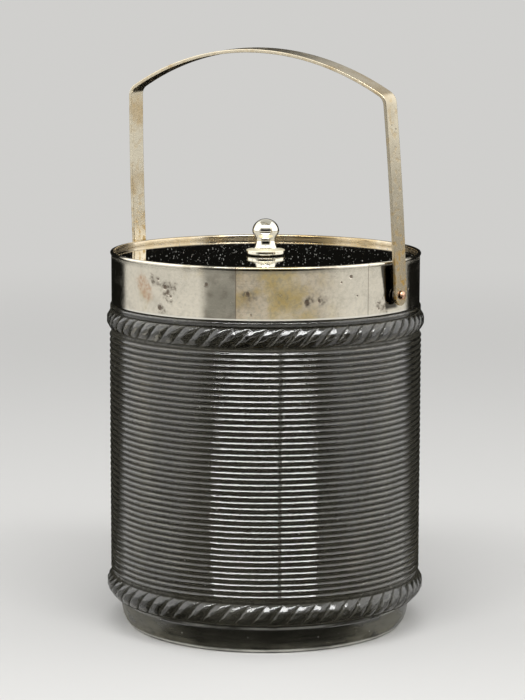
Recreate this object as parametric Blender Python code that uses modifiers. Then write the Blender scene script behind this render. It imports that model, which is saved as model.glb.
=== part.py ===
"""Jam pot: a ribbed pressed-glass body with a silver-plated collar, drop-in lid and swing bail.

The frame is the pot's own. +Z is up, the origin is the centre of the foot's underside and
X runs along the pivots of the bail. Every size is in metres.
"""
import math

import bmesh
import bpy
from mathutils import Matrix, Vector

# Fits that many pieces share
SEAT_GAP = 0.0003
BORE_CLEARANCE = 0.0003
CUT_OVERRUN = 0.002
MERGE_DISTANCE = 0.00001

# Facets round the turned pieces
POT_STEPS = 36
KNOB_STEPS = 24
RIVET_STEPS = 16
SHARP_ANGLE = math.radians(35)

# Plated collar and the rolled bead of its rim
COLLAR_RADIUS = 0.0450
COLLAR_WALL = 0.0008
COLLAR_HEIGHT = 0.0150
BEAD_HEIGHT = 0.0011
BEAD_PROUD = 0.0003

# Plaster that holds the collar on the glass neck
CEMENT_WALL = 0.0018
CEMENT_HEADROOM = 0.00105

# Glass body, from the foot up
FOOT_SETBACK = 0.0031
FOOT_ROUND = 0.0031
FOOT_ROUND_HEIGHT = 0.0062
FOOT_LAND_HEIGHT = 0.00085
FOOT_BEVEL = 0.00045
FOOT_BEVEL_HEIGHT = 0.00075
FOOT_GROOVE_DEPTH = 0.0011
FOOT_GROOVE_HEIGHT = 0.0008
FOOT_REST_WIDTH = 0.0048
FOOT_HOLLOW_SLOPE = 0.0015
FOOT_HOLLOW_DEPTH = 0.0012
BASE_ROPE_HEIGHT = 0.0068
BASE_ROPE_PROUD = 0.0011
BAND_MARGIN = 0.0007
RIB_COUNT = 42
RIB_PITCH = 0.001675
RIB_DEPTH = 0.00045
RIB_PROUD = 0.0006
SHOULDER_ROPE_HEIGHT = 0.0062
SHOULDER_ROPE_PROUD = 0.0008
SHOULDER_HEIGHT = 0.0014
SHOULDER_PROUD = 0.0004
NECK_WALL = 0.0026
NECK_HEADROOM = 0.0007
LIP_ROUND = 0.0008
BORE_DRAFT = 0.0008
FLOOR_THICKNESS = 0.0085
FLOOR_FILLET = 0.0060

# Rope bands: strands round the pot, and how many strand widths one leans over its band
ROPE_STRANDS = 60
ROPE_LEAN_SHARE = 1.5
ROPE_GROOVE_DEPTH = 0.0008
ROPE_EDGE = 0.0003
ROPE_ROOT = 0.0009
# A strand's section: share of the band's height, share of the strand's height over its bed
ROPE_SECTION_SHARES = ((0.0, -0.3), (0.2, 0.78), (0.5, 1.0), (0.8, 0.78), (1.0, -0.3))

# Lid plate, the ledge that it rests on and the bezel that centres it
LID_RECESS = 0.00145
LID_THICKNESS = 0.0010
LID_CLEARANCE = 0.0003
LID_EDGE_BREAK = 0.0002
LEDGE_WIDTH = 0.0027
LEDGE_THICKNESS = 0.0010
BEZEL_CLEARANCE = 0.0004
BEZEL_WALL = 0.0006
BEZEL_DEPTH = 0.0030

# Turned knob, from its flange up
KNOB_FLANGE_RADIUS = 0.00566
KNOB_FLANGE_THICKNESS = 0.00150
KNOB_FLANGE_FALL = 0.00015
KNOB_FLANGE_ROUND = 0.00040
KNOB_STEM_FOOT_RADIUS = 0.0044
KNOB_STEM_HEIGHT = 0.00280
KNOB_NECK_RADIUS = 0.0028
KNOB_WAIST_HEIGHT = 0.0024
KNOB_BALL_RADIUS = 0.0039
KNOB_DOME_HEIGHT = 0.0036

# Screw and washer that hold the knob from under the lid
SCREW_RADIUS = 0.0013
SCREW_REACH = 0.0042
SCREW_SPARE = 0.0005
SCREW_HEAD_RADIUS = 0.0026
SCREW_HEAD_HEIGHT = 0.0016
SCREW_SLOT_WIDTH = 0.0007
SCREW_SLOT_DEPTH = 0.0006
WASHER_RADIUS = 0.0040
WASHER_THICKNESS = 0.0006

# Flat-strap bail and its rest lean
BAIL_STRAP_WIDTH = 0.0056
BAIL_STRAP_THICKNESS = 0.0010
BAIL_EDGE_BREAK = 0.00018
BAIL_END_FULLNESS = 0.0002
BAIL_SHOULDER_HEIGHT = 0.0556
BAIL_LEG_DRAW = 0.00165
BAIL_ARCH_RISE = 0.0123
BAIL_SHOULDER_BEND = 0.0036
BAIL_LEAN = math.radians(4)
BAIL_LEG_POINTS = 9
BAIL_BEND_POINTS = 5
BAIL_ARCH_POINTS = 25

# Pivot rivets and the spacers between the collar and the bail
PIVOT_RISE = 0.00525
RIVET_RADIUS = 0.0008
RIVET_HEAD_LAP = 0.00045
RIVET_HEAD_HEIGHT = 0.0008
RIVET_TAIL_LAP = 0.0005
RIVET_TAIL_HEIGHT = 0.0005
SPACER_WALL = 0.0010
SPACER_THICKNESS = 0.00055

# Heights up the glass
FOOT_BEVEL_BOTTOM = FOOT_ROUND_HEIGHT + FOOT_LAND_HEIGHT
FOOT_BEVEL_TOP = FOOT_BEVEL_BOTTOM + FOOT_BEVEL_HEIGHT
FOOT_HEIGHT = FOOT_BEVEL_TOP + FOOT_GROOVE_HEIGHT
BASE_ROPE_TOP = FOOT_HEIGHT + BASE_ROPE_HEIGHT
RIBS_BOTTOM = BASE_ROPE_TOP + BAND_MARGIN
RIBS_TOP = RIBS_BOTTOM + RIB_COUNT * RIB_PITCH
SHOULDER_ROPE_BOTTOM = RIBS_TOP + BAND_MARGIN
SHOULDER_ROPE_TOP = SHOULDER_ROPE_BOTTOM + SHOULDER_ROPE_HEIGHT
SHOULDER_TOP = SHOULDER_ROPE_TOP + SHOULDER_HEIGHT

# Heights up the collar and the lid
COLLAR_BOTTOM = SHOULDER_TOP + SEAT_GAP
RIM_TOP = COLLAR_BOTTOM + COLLAR_HEIGHT
PIVOT_Z = COLLAR_BOTTOM + PIVOT_RISE
LID_TOP = RIM_TOP - LID_RECESS
LID_BOTTOM = LID_TOP - LID_THICKNESS
LEDGE_TOP = LID_BOTTOM - SEAT_GAP
BEZEL_TOP = LID_BOTTOM - SEAT_GAP
BEZEL_BOTTOM = BEZEL_TOP - BEZEL_DEPTH
NECK_TOP = BEZEL_BOTTOM - NECK_HEADROOM
KNOB_SEAT = LID_TOP + SEAT_GAP
WASHER_TOP = LID_BOTTOM - SEAT_GAP
SCREW_SEAT = WASHER_TOP - WASHER_THICKNESS - SEAT_GAP

# Radii, from the collar inward
COLLAR_BORE = COLLAR_RADIUS - COLLAR_WALL
LID_RADIUS = COLLAR_BORE - LID_CLEARANCE
LEDGE_RADIUS = COLLAR_BORE - SEAT_GAP
LEDGE_BORE = LEDGE_RADIUS - LEDGE_WIDTH
BEZEL_RADIUS = LEDGE_BORE - BEZEL_CLEARANCE
CEMENT_RADIUS = COLLAR_BORE - SEAT_GAP
CEMENT_BORE = CEMENT_RADIUS - CEMENT_WALL
NECK_RADIUS = CEMENT_BORE - SEAT_GAP
BORE_RADIUS = NECK_RADIUS - NECK_WALL
BORE_FLOOR_RADIUS = BORE_RADIUS - BORE_DRAFT

# Radii of the glass outside, which line up with the collar
RIB_CREST_RADIUS = COLLAR_RADIUS + RIB_PROUD
RIB_VALLEY_RADIUS = RIB_CREST_RADIUS - RIB_DEPTH
SHOULDER_RADIUS = COLLAR_RADIUS + SHOULDER_PROUD
BASE_ROPE_RADIUS = RIB_CREST_RADIUS + BASE_ROPE_PROUD
SHOULDER_ROPE_RADIUS = RIB_CREST_RADIUS + SHOULDER_ROPE_PROUD
FOOT_TOP_RADIUS = RIB_CREST_RADIUS - FOOT_SETBACK
FOOT_REST_RADIUS = FOOT_TOP_RADIUS - FOOT_ROUND
FOOT_GROOVE_RADIUS = FOOT_TOP_RADIUS - FOOT_GROOVE_DEPTH

# Distances along the pivot axis, from the pot's centre outward
SPACER_INNER_X = COLLAR_RADIUS + SEAT_GAP
SPACER_OUTER_X = SPACER_INNER_X + SPACER_THICKNESS
BAIL_INNER_X = SPACER_OUTER_X + SEAT_GAP
BAIL_PIVOT_X = BAIL_INNER_X + BAIL_STRAP_THICKNESS / 2
RIVET_HEAD_X = BAIL_INNER_X + BAIL_STRAP_THICKNESS + SEAT_GAP
RIVET_TAIL_X = COLLAR_BORE - SEAT_GAP
PIVOT_BORE = RIVET_RADIUS + BORE_CLEARANCE
RIVET_TAIL_RADIUS = RIVET_RADIUS + RIVET_TAIL_LAP
SCREW_BORE = SCREW_RADIUS + BORE_CLEARANCE


def clear_scene():
    """Remove every object, so that the file holds the pot alone."""
    for obj in list(bpy.data.objects):
        bpy.data.objects.remove(obj, do_unlink=True)


def new_collection(name):
    """Make a collection under the scene."""
    collection = bpy.data.collections.new(name)
    bpy.context.scene.collection.children.link(collection)
    return collection


def new_material(name, colour, roughness, metallic, transmission=0.0):
    """Make a Principled material with the look of one part."""
    material = bpy.data.materials.new(name)
    material.use_nodes = True
    shader = material.node_tree.nodes["Principled BSDF"]
    shader.inputs["Base Color"].default_value = (*colour, 1.0)
    shader.inputs["Roughness"].default_value = roughness
    shader.inputs["Metallic"].default_value = metallic
    shader.inputs["Transmission Weight"].default_value = transmission
    material.diffuse_color = (*colour, 1.0)
    return material


def link_part(name, data, material):
    """Make a part of the pot from mesh or curve data."""
    obj = bpy.data.objects.new(name, data)
    data.materials.clear()
    data.materials.append(material)
    PARTS.objects.link(obj)
    return obj


def link_cutter(name, data):
    """Make a cutter, which shows as wire and isn't part of the pot."""
    obj = bpy.data.objects.new(name, data)
    obj.hide_render = True
    obj.display_type = "WIRE"
    CUTTERS.objects.link(obj)
    return obj


def carry(name, height, pieces):
    """Parent pieces that move together to an empty on the pot's axis."""
    carrier = bpy.data.objects.new(name, None)
    carrier.location.z = height
    PARTS.objects.link(carrier)
    bpy.context.view_layer.update()
    for piece in pieces:
        piece.parent = carrier
        piece.matrix_parent_inverse = carrier.matrix_world.inverted()


def profile_mesh(name, points, closed):
    """Make the edge chain of a turned profile from (radius, height) points at +X."""
    mesh = bpy.data.meshes.new(name)
    count = len(points)
    edges = [(i, i + 1) for i in range(count - 1)]
    if closed:
        edges.append((count - 1, 0))
    mesh.from_pydata([(radius, 0, height) for radius, height in points], edges, [])
    return mesh


def turned(name, points, steps, material, closed=True):
    """Turn a profile about +Z. An open profile starts and ends on the axis."""
    obj = link_part(name, profile_mesh(name, points, closed), material)
    screw = obj.modifiers.new("turn", "SCREW")
    screw.axis = "Z"
    screw.angle = math.tau
    screw.steps = steps
    screw.render_steps = steps
    screw.use_merge_vertices = True
    screw.merge_threshold = MERGE_DISTANCE
    screw.use_smooth_shade = True
    return obj


def ring_profile(bore, radius, bottom, top):
    """Give the square section of a plain ring, down its outer side first."""
    return [(radius, top), (radius, bottom), (bore, bottom), (bore, top)]


def arc(centre, radii, start, end, count):
    """Give points on an elliptical arc of (radius, height), both ends included."""
    points = []
    for i in range(count):
        angle = start + (end - start) * i / (count - 1)
        points.append((centre[0] + radii[0] * math.cos(angle),
                       centre[1] + radii[1] * math.sin(angle)))
    return points


def boolean(obj, other, operation):
    """Add an exact Boolean of another object."""
    modifier = obj.modifiers.new(other.name, "BOOLEAN")
    modifier.operation = operation
    modifier.solver = "EXACT"
    modifier.object = other
    return modifier


def evaluated_mesh(obj):
    """Give a new mesh of an object with its modifiers applied."""
    graph = bpy.context.evaluated_depsgraph_get()
    graph.update()
    return bpy.data.meshes.new_from_object(obj.evaluated_get(graph))


def settle(obj):
    """Apply an object's modifiers and shade it smooth up to its sharp edges."""
    mesh = evaluated_mesh(obj)
    mesh.name = obj.name
    mesh.shade_smooth()
    mesh.set_sharp_from_angle(angle=SHARP_ANGLE)
    obj.modifiers.clear()
    obj.data = mesh


def rod_mesh(name, radius, length, steps):
    """Make a cylinder along X, centred on the origin."""
    mesh = bpy.data.meshes.new(name)
    bm = bmesh.new()
    bmesh.ops.create_cone(bm, cap_ends=True, segments=steps, radius1=radius, radius2=radius,
                          depth=length, matrix=Matrix.Rotation(math.pi / 2, 4, "Y"))
    bm.to_mesh(mesh)
    bm.free()
    return mesh


def plate_from_outline(name, points, thickness, placement):
    """Fill a flat outline, give it a thickness and place it, as a welded mesh."""
    curve = bpy.data.curves.new(name, "CURVE")
    curve.dimensions = "2D"
    curve.fill_mode = "BOTH"
    curve.extrude = thickness / 2
    spline = curve.splines.new("POLY")
    spline.points.add(len(points) - 1)
    for point, (x, y) in zip(spline.points, points):
        point.co = (x, y, 0, 1)
    spline.use_cyclic_u = True
    outline = bpy.data.objects.new(name + "_outline", curve)
    PARTS.objects.link(outline)
    mesh = evaluated_mesh(outline)
    bpy.data.objects.remove(outline, do_unlink=True)
    bm = bmesh.new()
    bm.from_mesh(mesh)
    bmesh.ops.remove_doubles(bm, verts=bm.verts, dist=MERGE_DISTANCE)
    bmesh.ops.transform(bm, matrix=placement, verts=bm.verts)
    bmesh.ops.recalc_face_normals(bm, faces=bm.faces)
    bm.to_mesh(mesh)
    bm.free()
    mesh.name = name
    return mesh


def jar_profile():
    """Give the glass section: up the inside from the floor, over the lip and down outside."""
    fillet_centre = (BORE_FLOOR_RADIUS - FLOOR_FILLET, FLOOR_THICKNESS + FLOOR_FILLET)
    points = [(0, FLOOR_THICKNESS)]
    points += arc(fillet_centre, (FLOOR_FILLET, FLOOR_FILLET), -math.pi / 2, 0, 5)
    points += [
        (BORE_RADIUS, NECK_TOP - LIP_ROUND),
        (BORE_RADIUS + LIP_ROUND, NECK_TOP),
        (NECK_RADIUS - LIP_ROUND, NECK_TOP),
        (NECK_RADIUS, NECK_TOP - LIP_ROUND),
        (NECK_RADIUS, SHOULDER_TOP),
        (SHOULDER_RADIUS, SHOULDER_TOP),
        (SHOULDER_RADIUS, SHOULDER_ROPE_TOP),
        (RIB_VALLEY_RADIUS, SHOULDER_ROPE_TOP),
    ]
    for rib in range(RIB_COUNT):
        rib_top = RIBS_TOP - rib * RIB_PITCH
        points.append((RIB_VALLEY_RADIUS, rib_top))
        points.append((RIB_CREST_RADIUS, rib_top - RIB_PITCH / 2))
    points += [
        (RIB_VALLEY_RADIUS, RIBS_BOTTOM),
        (RIB_VALLEY_RADIUS, FOOT_HEIGHT),
        (FOOT_GROOVE_RADIUS, FOOT_HEIGHT),
        (FOOT_GROOVE_RADIUS, FOOT_BEVEL_TOP),
        (FOOT_TOP_RADIUS - FOOT_BEVEL, FOOT_BEVEL_TOP),
        (FOOT_TOP_RADIUS, FOOT_BEVEL_BOTTOM),
    ]
    points += arc((FOOT_REST_RADIUS, FOOT_ROUND_HEIGHT), (FOOT_ROUND, FOOT_ROUND_HEIGHT),
                  0, -math.pi / 2, 5)
    rest_inner_radius = FOOT_REST_RADIUS - FOOT_REST_WIDTH
    points += [
        (rest_inner_radius, 0),
        (rest_inner_radius - FOOT_HOLLOW_SLOPE, FOOT_HOLLOW_DEPTH),
        (0, FOOT_HOLLOW_DEPTH),
    ]
    return points


def rope_ring(name, radius, bottom, height):
    """Loft a rope band: ridges and grooves take turns round the ring and lean together."""
    mesh = bpy.data.meshes.new(name)
    bm = bmesh.new()
    strand_angle = math.tau / ROPE_STRANDS
    low = bottom + ROPE_EDGE
    span = height - 2 * ROPE_EDGE
    ridge = radius - RIB_VALLEY_RADIUS
    sections = []
    for column in range(2 * ROPE_STRANDS):
        stand = ridge if column % 2 == 0 else ridge - ROPE_GROOVE_DEPTH
        section = []
        for height_share, stand_share in ROPE_SECTION_SHARES:
            lean = (height_share - 0.5) * ROPE_LEAN_SHARE
            angle = (column / 2 + lean) * strand_angle
            reach = RIB_VALLEY_RADIUS + stand_share * stand
            section.append(bm.verts.new((reach * math.cos(angle), reach * math.sin(angle),
                                         low + height_share * span)))
        root_angle = column / 2 * strand_angle
        root = RIB_VALLEY_RADIUS - ROPE_ROOT
        section.append(bm.verts.new((root * math.cos(root_angle), root * math.sin(root_angle),
                                     low + span / 2)))
        sections.append(section)
    for this, following in zip(sections, sections[1:] + sections[:1]):
        for level in range(len(this)):
            above = (level + 1) % len(this)
            bm.faces.new((this[level], following[level], following[above], this[above]))
    bmesh.ops.recalc_face_normals(bm, faces=bm.faces)
    bm.to_mesh(mesh)
    bm.free()
    return link_cutter(name, mesh)


def collar_profile():
    """Give the collar's section: a straight wall with a rolled bead outside its rim."""
    bead_half = BEAD_HEIGHT / 2
    bead_middle = (COLLAR_BORE + COLLAR_RADIUS + BEAD_PROUD) / 2
    bead_reach = COLLAR_RADIUS + BEAD_PROUD - bead_middle
    bead = arc((bead_middle, RIM_TOP - bead_half), (bead_reach, bead_half),
               math.pi, -math.pi / 4, 8)
    return bead + [
        (COLLAR_RADIUS, RIM_TOP - BEAD_HEIGHT),
        (COLLAR_RADIUS, COLLAR_BOTTOM),
        (COLLAR_BORE, COLLAR_BOTTOM),
    ]


def lid_profile():
    """Give the lid plate's section, with broken outer edges and the screw's hole."""
    return [
        (LID_RADIUS - LID_EDGE_BREAK, LID_TOP),
        (LID_RADIUS, LID_TOP - LID_EDGE_BREAK),
        (LID_RADIUS, LID_BOTTOM + LID_EDGE_BREAK),
        (LID_RADIUS - LID_EDGE_BREAK, LID_BOTTOM),
        (SCREW_BORE, LID_BOTTOM),
        (SCREW_BORE, LID_TOP),
    ]


def knob_profile():
    """Give the knob's section: dome, ball, waisted neck, flared stem and flange."""
    flange_top = KNOB_SEAT + KNOB_FLANGE_THICKNESS
    neck_height = flange_top + KNOB_STEM_HEIGHT
    ball_height = neck_height + KNOB_WAIST_HEIGHT
    points = arc((0, ball_height), (KNOB_BALL_RADIUS, KNOB_DOME_HEIGHT), math.pi / 2, 0, 7)
    points[0] = (0, ball_height + KNOB_DOME_HEIGHT)
    waist_points = 4
    for i in range(1, waist_points + 1):
        share = i / waist_points
        swell = (1 + math.cos(share * math.pi)) / 2
        points.append((KNOB_NECK_RADIUS + (KNOB_BALL_RADIUS - KNOB_NECK_RADIUS) * swell,
                       ball_height - share * KNOB_WAIST_HEIGHT))
    stem_points = 4
    for i in range(1, stem_points + 1):
        angle = i / stem_points * math.pi / 2
        flare = (KNOB_STEM_FOOT_RADIUS - KNOB_NECK_RADIUS) * (1 - math.cos(angle))
        points.append((KNOB_NECK_RADIUS + flare, neck_height - KNOB_STEM_HEIGHT * math.sin(angle)))
    round_radii = (KNOB_FLANGE_ROUND, KNOB_FLANGE_ROUND)
    edge = KNOB_FLANGE_RADIUS - KNOB_FLANGE_ROUND
    points += arc((edge, flange_top - KNOB_FLANGE_FALL - KNOB_FLANGE_ROUND), round_radii,
                  math.pi / 2, 0, 3)
    points += arc((edge, KNOB_SEAT + KNOB_FLANGE_ROUND), round_radii, 0, -math.pi / 2, 3)
    bore_top = KNOB_SEAT + SCREW_REACH + SCREW_SPARE
    points += [(SCREW_BORE, KNOB_SEAT), (SCREW_BORE, bore_top), (0, bore_top)]
    return points


def screw_profile():
    """Give the section of the screw that comes up through the lid into the knob."""
    return [
        (0, KNOB_SEAT + SCREW_REACH),
        (SCREW_RADIUS, KNOB_SEAT + SCREW_REACH),
        (SCREW_RADIUS, SCREW_SEAT),
        (SCREW_HEAD_RADIUS, SCREW_SEAT),
        (SCREW_HEAD_RADIUS, SCREW_SEAT - SCREW_HEAD_HEIGHT),
        (0, SCREW_SEAT - SCREW_HEAD_HEIGHT),
    ]


def rivet_profile():
    """Give a rivet's section along its own axis, from the domed head in to the spread tail."""
    head = arc((0, RIVET_HEAD_X), (RIVET_RADIUS + RIVET_HEAD_LAP, RIVET_HEAD_HEIGHT),
               math.pi / 2, 0, 5)
    head[0] = (0, RIVET_HEAD_X + RIVET_HEAD_HEIGHT)
    tail = arc((0, RIVET_TAIL_X), (RIVET_TAIL_RADIUS, RIVET_TAIL_HEIGHT), 0, -math.pi / 2, 4)
    tail[-1] = (0, RIVET_TAIL_X - RIVET_TAIL_HEIGHT)
    return head + [(RIVET_RADIUS, RIVET_HEAD_X), (RIVET_RADIUS, RIVET_TAIL_X)] + tail


def bail_half_line():
    """Give the strap's centre line from the apex to the +X leg's end, as (x, height)."""
    shoulder_x = BAIL_PIVOT_X - BAIL_LEG_DRAW
    arch_radius = (shoulder_x ** 2 + BAIL_ARCH_RISE ** 2) / (2 * BAIL_ARCH_RISE)
    arch_centre = BAIL_SHOULDER_HEIGHT + BAIL_ARCH_RISE - arch_radius
    arch_angle = math.asin(shoulder_x / arch_radius)
    leg_slope = 2 * BAIL_LEG_DRAW / BAIL_SHOULDER_HEIGHT
    turn = math.pi / 2 - arch_angle - math.atan(leg_slope)
    tangent = BAIL_SHOULDER_BEND * math.tan(turn / 2)
    points = []
    arch_end = arch_angle - tangent / arch_radius
    half_arch = BAIL_ARCH_POINTS // 2
    for i in range(half_arch + 1):
        angle = arch_end * i / half_arch
        points.append(Vector((arch_radius * math.sin(angle),
                              arch_centre + arch_radius * math.cos(angle))))
    leg_top = BAIL_SHOULDER_HEIGHT - tangent * math.cos(math.atan(leg_slope))
    corner = Vector((shoulder_x, BAIL_SHOULDER_HEIGHT))
    leg = []
    for i in range(BAIL_LEG_POINTS):
        height = leg_top * (1 - i / (BAIL_LEG_POINTS - 1))
        share = height / BAIL_SHOULDER_HEIGHT
        leg.append(Vector((BAIL_PIVOT_X - BAIL_LEG_DRAW * share ** 2, height)))
    for i in range(1, BAIL_BEND_POINTS + 1):
        share = i / (BAIL_BEND_POINTS + 1)
        first = points[half_arch].lerp(corner, share)
        second = corner.lerp(leg[0], share)
        points.append(first.lerp(second, share))
    leg.append(Vector((BAIL_PIVOT_X, -BAIL_STRAP_WIDTH / 2 - CUT_OVERRUN)))
    return points + leg


def bail_outline():
    """Give the strap's side outline: its centre line, half a thickness out and in."""
    half = bail_half_line()
    line = [Vector((-point.x, point.y)) for point in reversed(half[1:])] + half
    outer = []
    inner = []
    for i, point in enumerate(line):
        before = line[max(i - 1, 0)]
        after = line[min(i + 1, len(line) - 1)]
        along = (after - before).normalized()
        out = Vector((-along.y, along.x)) * BAIL_STRAP_THICKNESS / 2
        outer.append(point + out)
        inner.append(point - out)
    return [(point.x, point.y) for point in outer + inner[::-1]]


def bail_end_outline():
    """Give the waste round the strap's half-round ends, in the plane across the pivot axis."""
    end_radius = BAIL_STRAP_WIDTH / 2 + BAIL_END_FULLNESS
    side = BAIL_STRAP_WIDTH / 2 + CUT_OVERRUN
    depth = side + CUT_OVERRUN
    points = arc((0, 0), (end_radius, end_radius), math.pi, math.tau, 15)
    return points + [(side, 0), (side, -depth), (-side, -depth), (-side, 0)]


clear_scene()
PARTS = new_collection("jam_pot")
CUTTERS = new_collection("jam_pot_cutters")

GLASS = new_material("smoky_pressed_glass", (0.30, 0.30, 0.27), 0.05, 0.0, 1.0)
COLLAR_PLATE = new_material("collar_silver_plate", (0.78, 0.74, 0.66), 0.24, 1.0)
LEDGE_PLATE = new_material("ledge_silver_plate", (0.70, 0.66, 0.58), 0.35, 1.0)
LID_PLATE = new_material("lid_silver_plate", (0.74, 0.73, 0.70), 0.10, 1.0)
BEZEL_PLATE = new_material("bezel_silver_plate", (0.72, 0.68, 0.60), 0.30, 1.0)
KNOB_PLATE = new_material("knob_silver_plate", (0.86, 0.83, 0.76), 0.12, 1.0)
BAIL_PLATE = new_material("bail_silver_plate", (0.80, 0.74, 0.62), 0.28, 1.0)
PLASTER = new_material("neck_plaster", (0.78, 0.74, 0.66), 0.90, 0.0)
COPPER = new_material("rivet_copper", (0.80, 0.50, 0.38), 0.35, 1.0)
SPACER_METAL = new_material("spacer_nickel_silver", (0.66, 0.62, 0.54), 0.35, 1.0)
BRASS = new_material("screw_brass", (0.72, 0.56, 0.28), 0.35, 1.0)
WASHER_METAL = new_material("washer_brass", (0.70, 0.55, 0.30), 0.40, 1.0)

# One long rod drills both ears of the bail and both sides of the collar
pivot_cutter = link_cutter("pivot_bore_cutter",
                           rod_mesh("pivot_bore_cutter", PIVOT_BORE,
                                    2 * (RIVET_HEAD_X + CUT_OVERRUN), RIVET_STEPS))
pivot_cutter.location.z = PIVOT_Z

# Glass body: the turned section, with both rope bands raised on it
jar = turned("glass_jar", jar_profile(), POT_STEPS, GLASS, closed=False)
base_rope = rope_ring("base_rope_band", BASE_ROPE_RADIUS, FOOT_HEIGHT, BASE_ROPE_HEIGHT)
shoulder_rope = rope_ring("shoulder_rope_band", SHOULDER_ROPE_RADIUS,
                          SHOULDER_ROPE_BOTTOM, SHOULDER_ROPE_HEIGHT)
boolean(jar, base_rope, "UNION")
boolean(jar, shoulder_rope, "UNION")

# Collar on its bed of plaster, with the ledge that carries the lid
cement_top = PIVOT_Z - RIVET_TAIL_RADIUS - CEMENT_HEADROOM
cement = turned("mount_cement",
                ring_profile(CEMENT_BORE, CEMENT_RADIUS, SHOULDER_TOP + SEAT_GAP, cement_top),
                POT_STEPS, PLASTER)
collar = turned("collar", collar_profile(), POT_STEPS, COLLAR_PLATE)
boolean(collar, pivot_cutter, "DIFFERENCE")
ledge = turned("lid_ledge_ring",
               ring_profile(LEDGE_BORE, LEDGE_RADIUS, LEDGE_TOP - LEDGE_THICKNESS, LEDGE_TOP),
               POT_STEPS, LEDGE_PLATE)

# Lid: flat plate, centring bezel under it, knob, and the screw and washer that hold the knob
lid = turned("lid_plate", lid_profile(), POT_STEPS, LID_PLATE)
bezel = turned("lid_bezel",
               ring_profile(BEZEL_RADIUS - BEZEL_WALL, BEZEL_RADIUS, BEZEL_BOTTOM, BEZEL_TOP),
               POT_STEPS, BEZEL_PLATE)
knob = turned("lid_knob", knob_profile(), KNOB_STEPS, KNOB_PLATE, closed=False)
screw = turned("knob_screw", screw_profile(), KNOB_STEPS, BRASS, closed=False)
slot_data = bpy.data.meshes.new("screw_slot_cutter")
slot_shape = bmesh.new()
bmesh.ops.create_cube(slot_shape, size=1)
bmesh.ops.scale(slot_shape, verts=slot_shape.verts,
                vec=(2 * (SCREW_HEAD_RADIUS + CUT_OVERRUN), SCREW_SLOT_WIDTH,
                     2 * SCREW_SLOT_DEPTH))
slot_shape.to_mesh(slot_data)
slot_shape.free()
slot_cutter = link_cutter("screw_slot_cutter", slot_data)
slot_cutter.location.z = SCREW_SEAT - SCREW_HEAD_HEIGHT
boolean(screw, slot_cutter, "DIFFERENCE")
washer = turned("knob_washer",
                ring_profile(SCREW_BORE, WASHER_RADIUS, WASHER_TOP - WASHER_THICKNESS, WASHER_TOP),
                KNOB_STEPS, WASHER_METAL)

carry("lid_lift", LID_BOTTOM, (lid, bezel, knob, screw, washer))

# Bail: the strap's side outline with the strap's width, rounded and drilled at both ends
upright = Matrix.Rotation(math.pi / 2, 4, "X")
bail = link_part("bail_handle",
                 plate_from_outline("bail_handle", bail_outline(), BAIL_STRAP_WIDTH, upright),
                 BAIL_PLATE)
bail.location.z = PIVOT_Z
bail.rotation_euler.x = BAIL_LEAN
soft_edges = bail.modifiers.new("soft_edges", "BEVEL")
soft_edges.width = BAIL_EDGE_BREAK
soft_edges.segments = 1
soft_edges.limit_method = "ANGLE"
soft_edges.angle_limit = math.radians(60)
across = Matrix.Rotation(math.pi / 2, 4, "Z") @ Matrix.Rotation(math.pi / 2, 4, "X")
end_cutter = link_cutter("bail_end_cutter",
                         plate_from_outline("bail_end_cutter", bail_end_outline(),
                                            2 * (RIVET_HEAD_X + CUT_OVERRUN), across))
end_cutter.location.z = PIVOT_Z
end_cutter.rotation_euler.x = BAIL_LEAN
boolean(bail, end_cutter, "DIFFERENCE")
boolean(bail, pivot_cutter, "DIFFERENCE")

# Rivets and spacers: turned about +Z from the pot's centre, then laid along the pivot axis
for side, turn in (("right", math.pi / 2), ("left", -math.pi / 2)):
    rivet = turned("pivot_rivet_" + side, rivet_profile(), RIVET_STEPS, COPPER, closed=False)
    spacer = turned("pivot_spacer_" + side,
                    ring_profile(PIVOT_BORE, PIVOT_BORE + SPACER_WALL,
                                 SPACER_INNER_X, SPACER_OUTER_X),
                    RIVET_STEPS, SPACER_METAL)
    for piece in (rivet, spacer):
        piece.location.z = PIVOT_Z
        piece.rotation_euler.y = turn

bpy.context.view_layer.update()
for part in PARTS.objects:
    if part.type == "MESH":
        settle(part)
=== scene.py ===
# %% [markdown]
# # Dressing a glass jam pot
# The imported model already says where every piece of the pot is and how it moves. This lesson gives each
# piece its fine shape and its finish, and sets up the table, the light and the camera.
# Sizes are read from the imported model, worked out from it, or the ones that it was built with. Colours,
# stains and lamps have no such source: they were matched to the photo.

# %% Load the imported model as a fixed frame
import math
import random

import bmesh
import bpy
from mathutils import Matrix, Vector, noise


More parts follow.
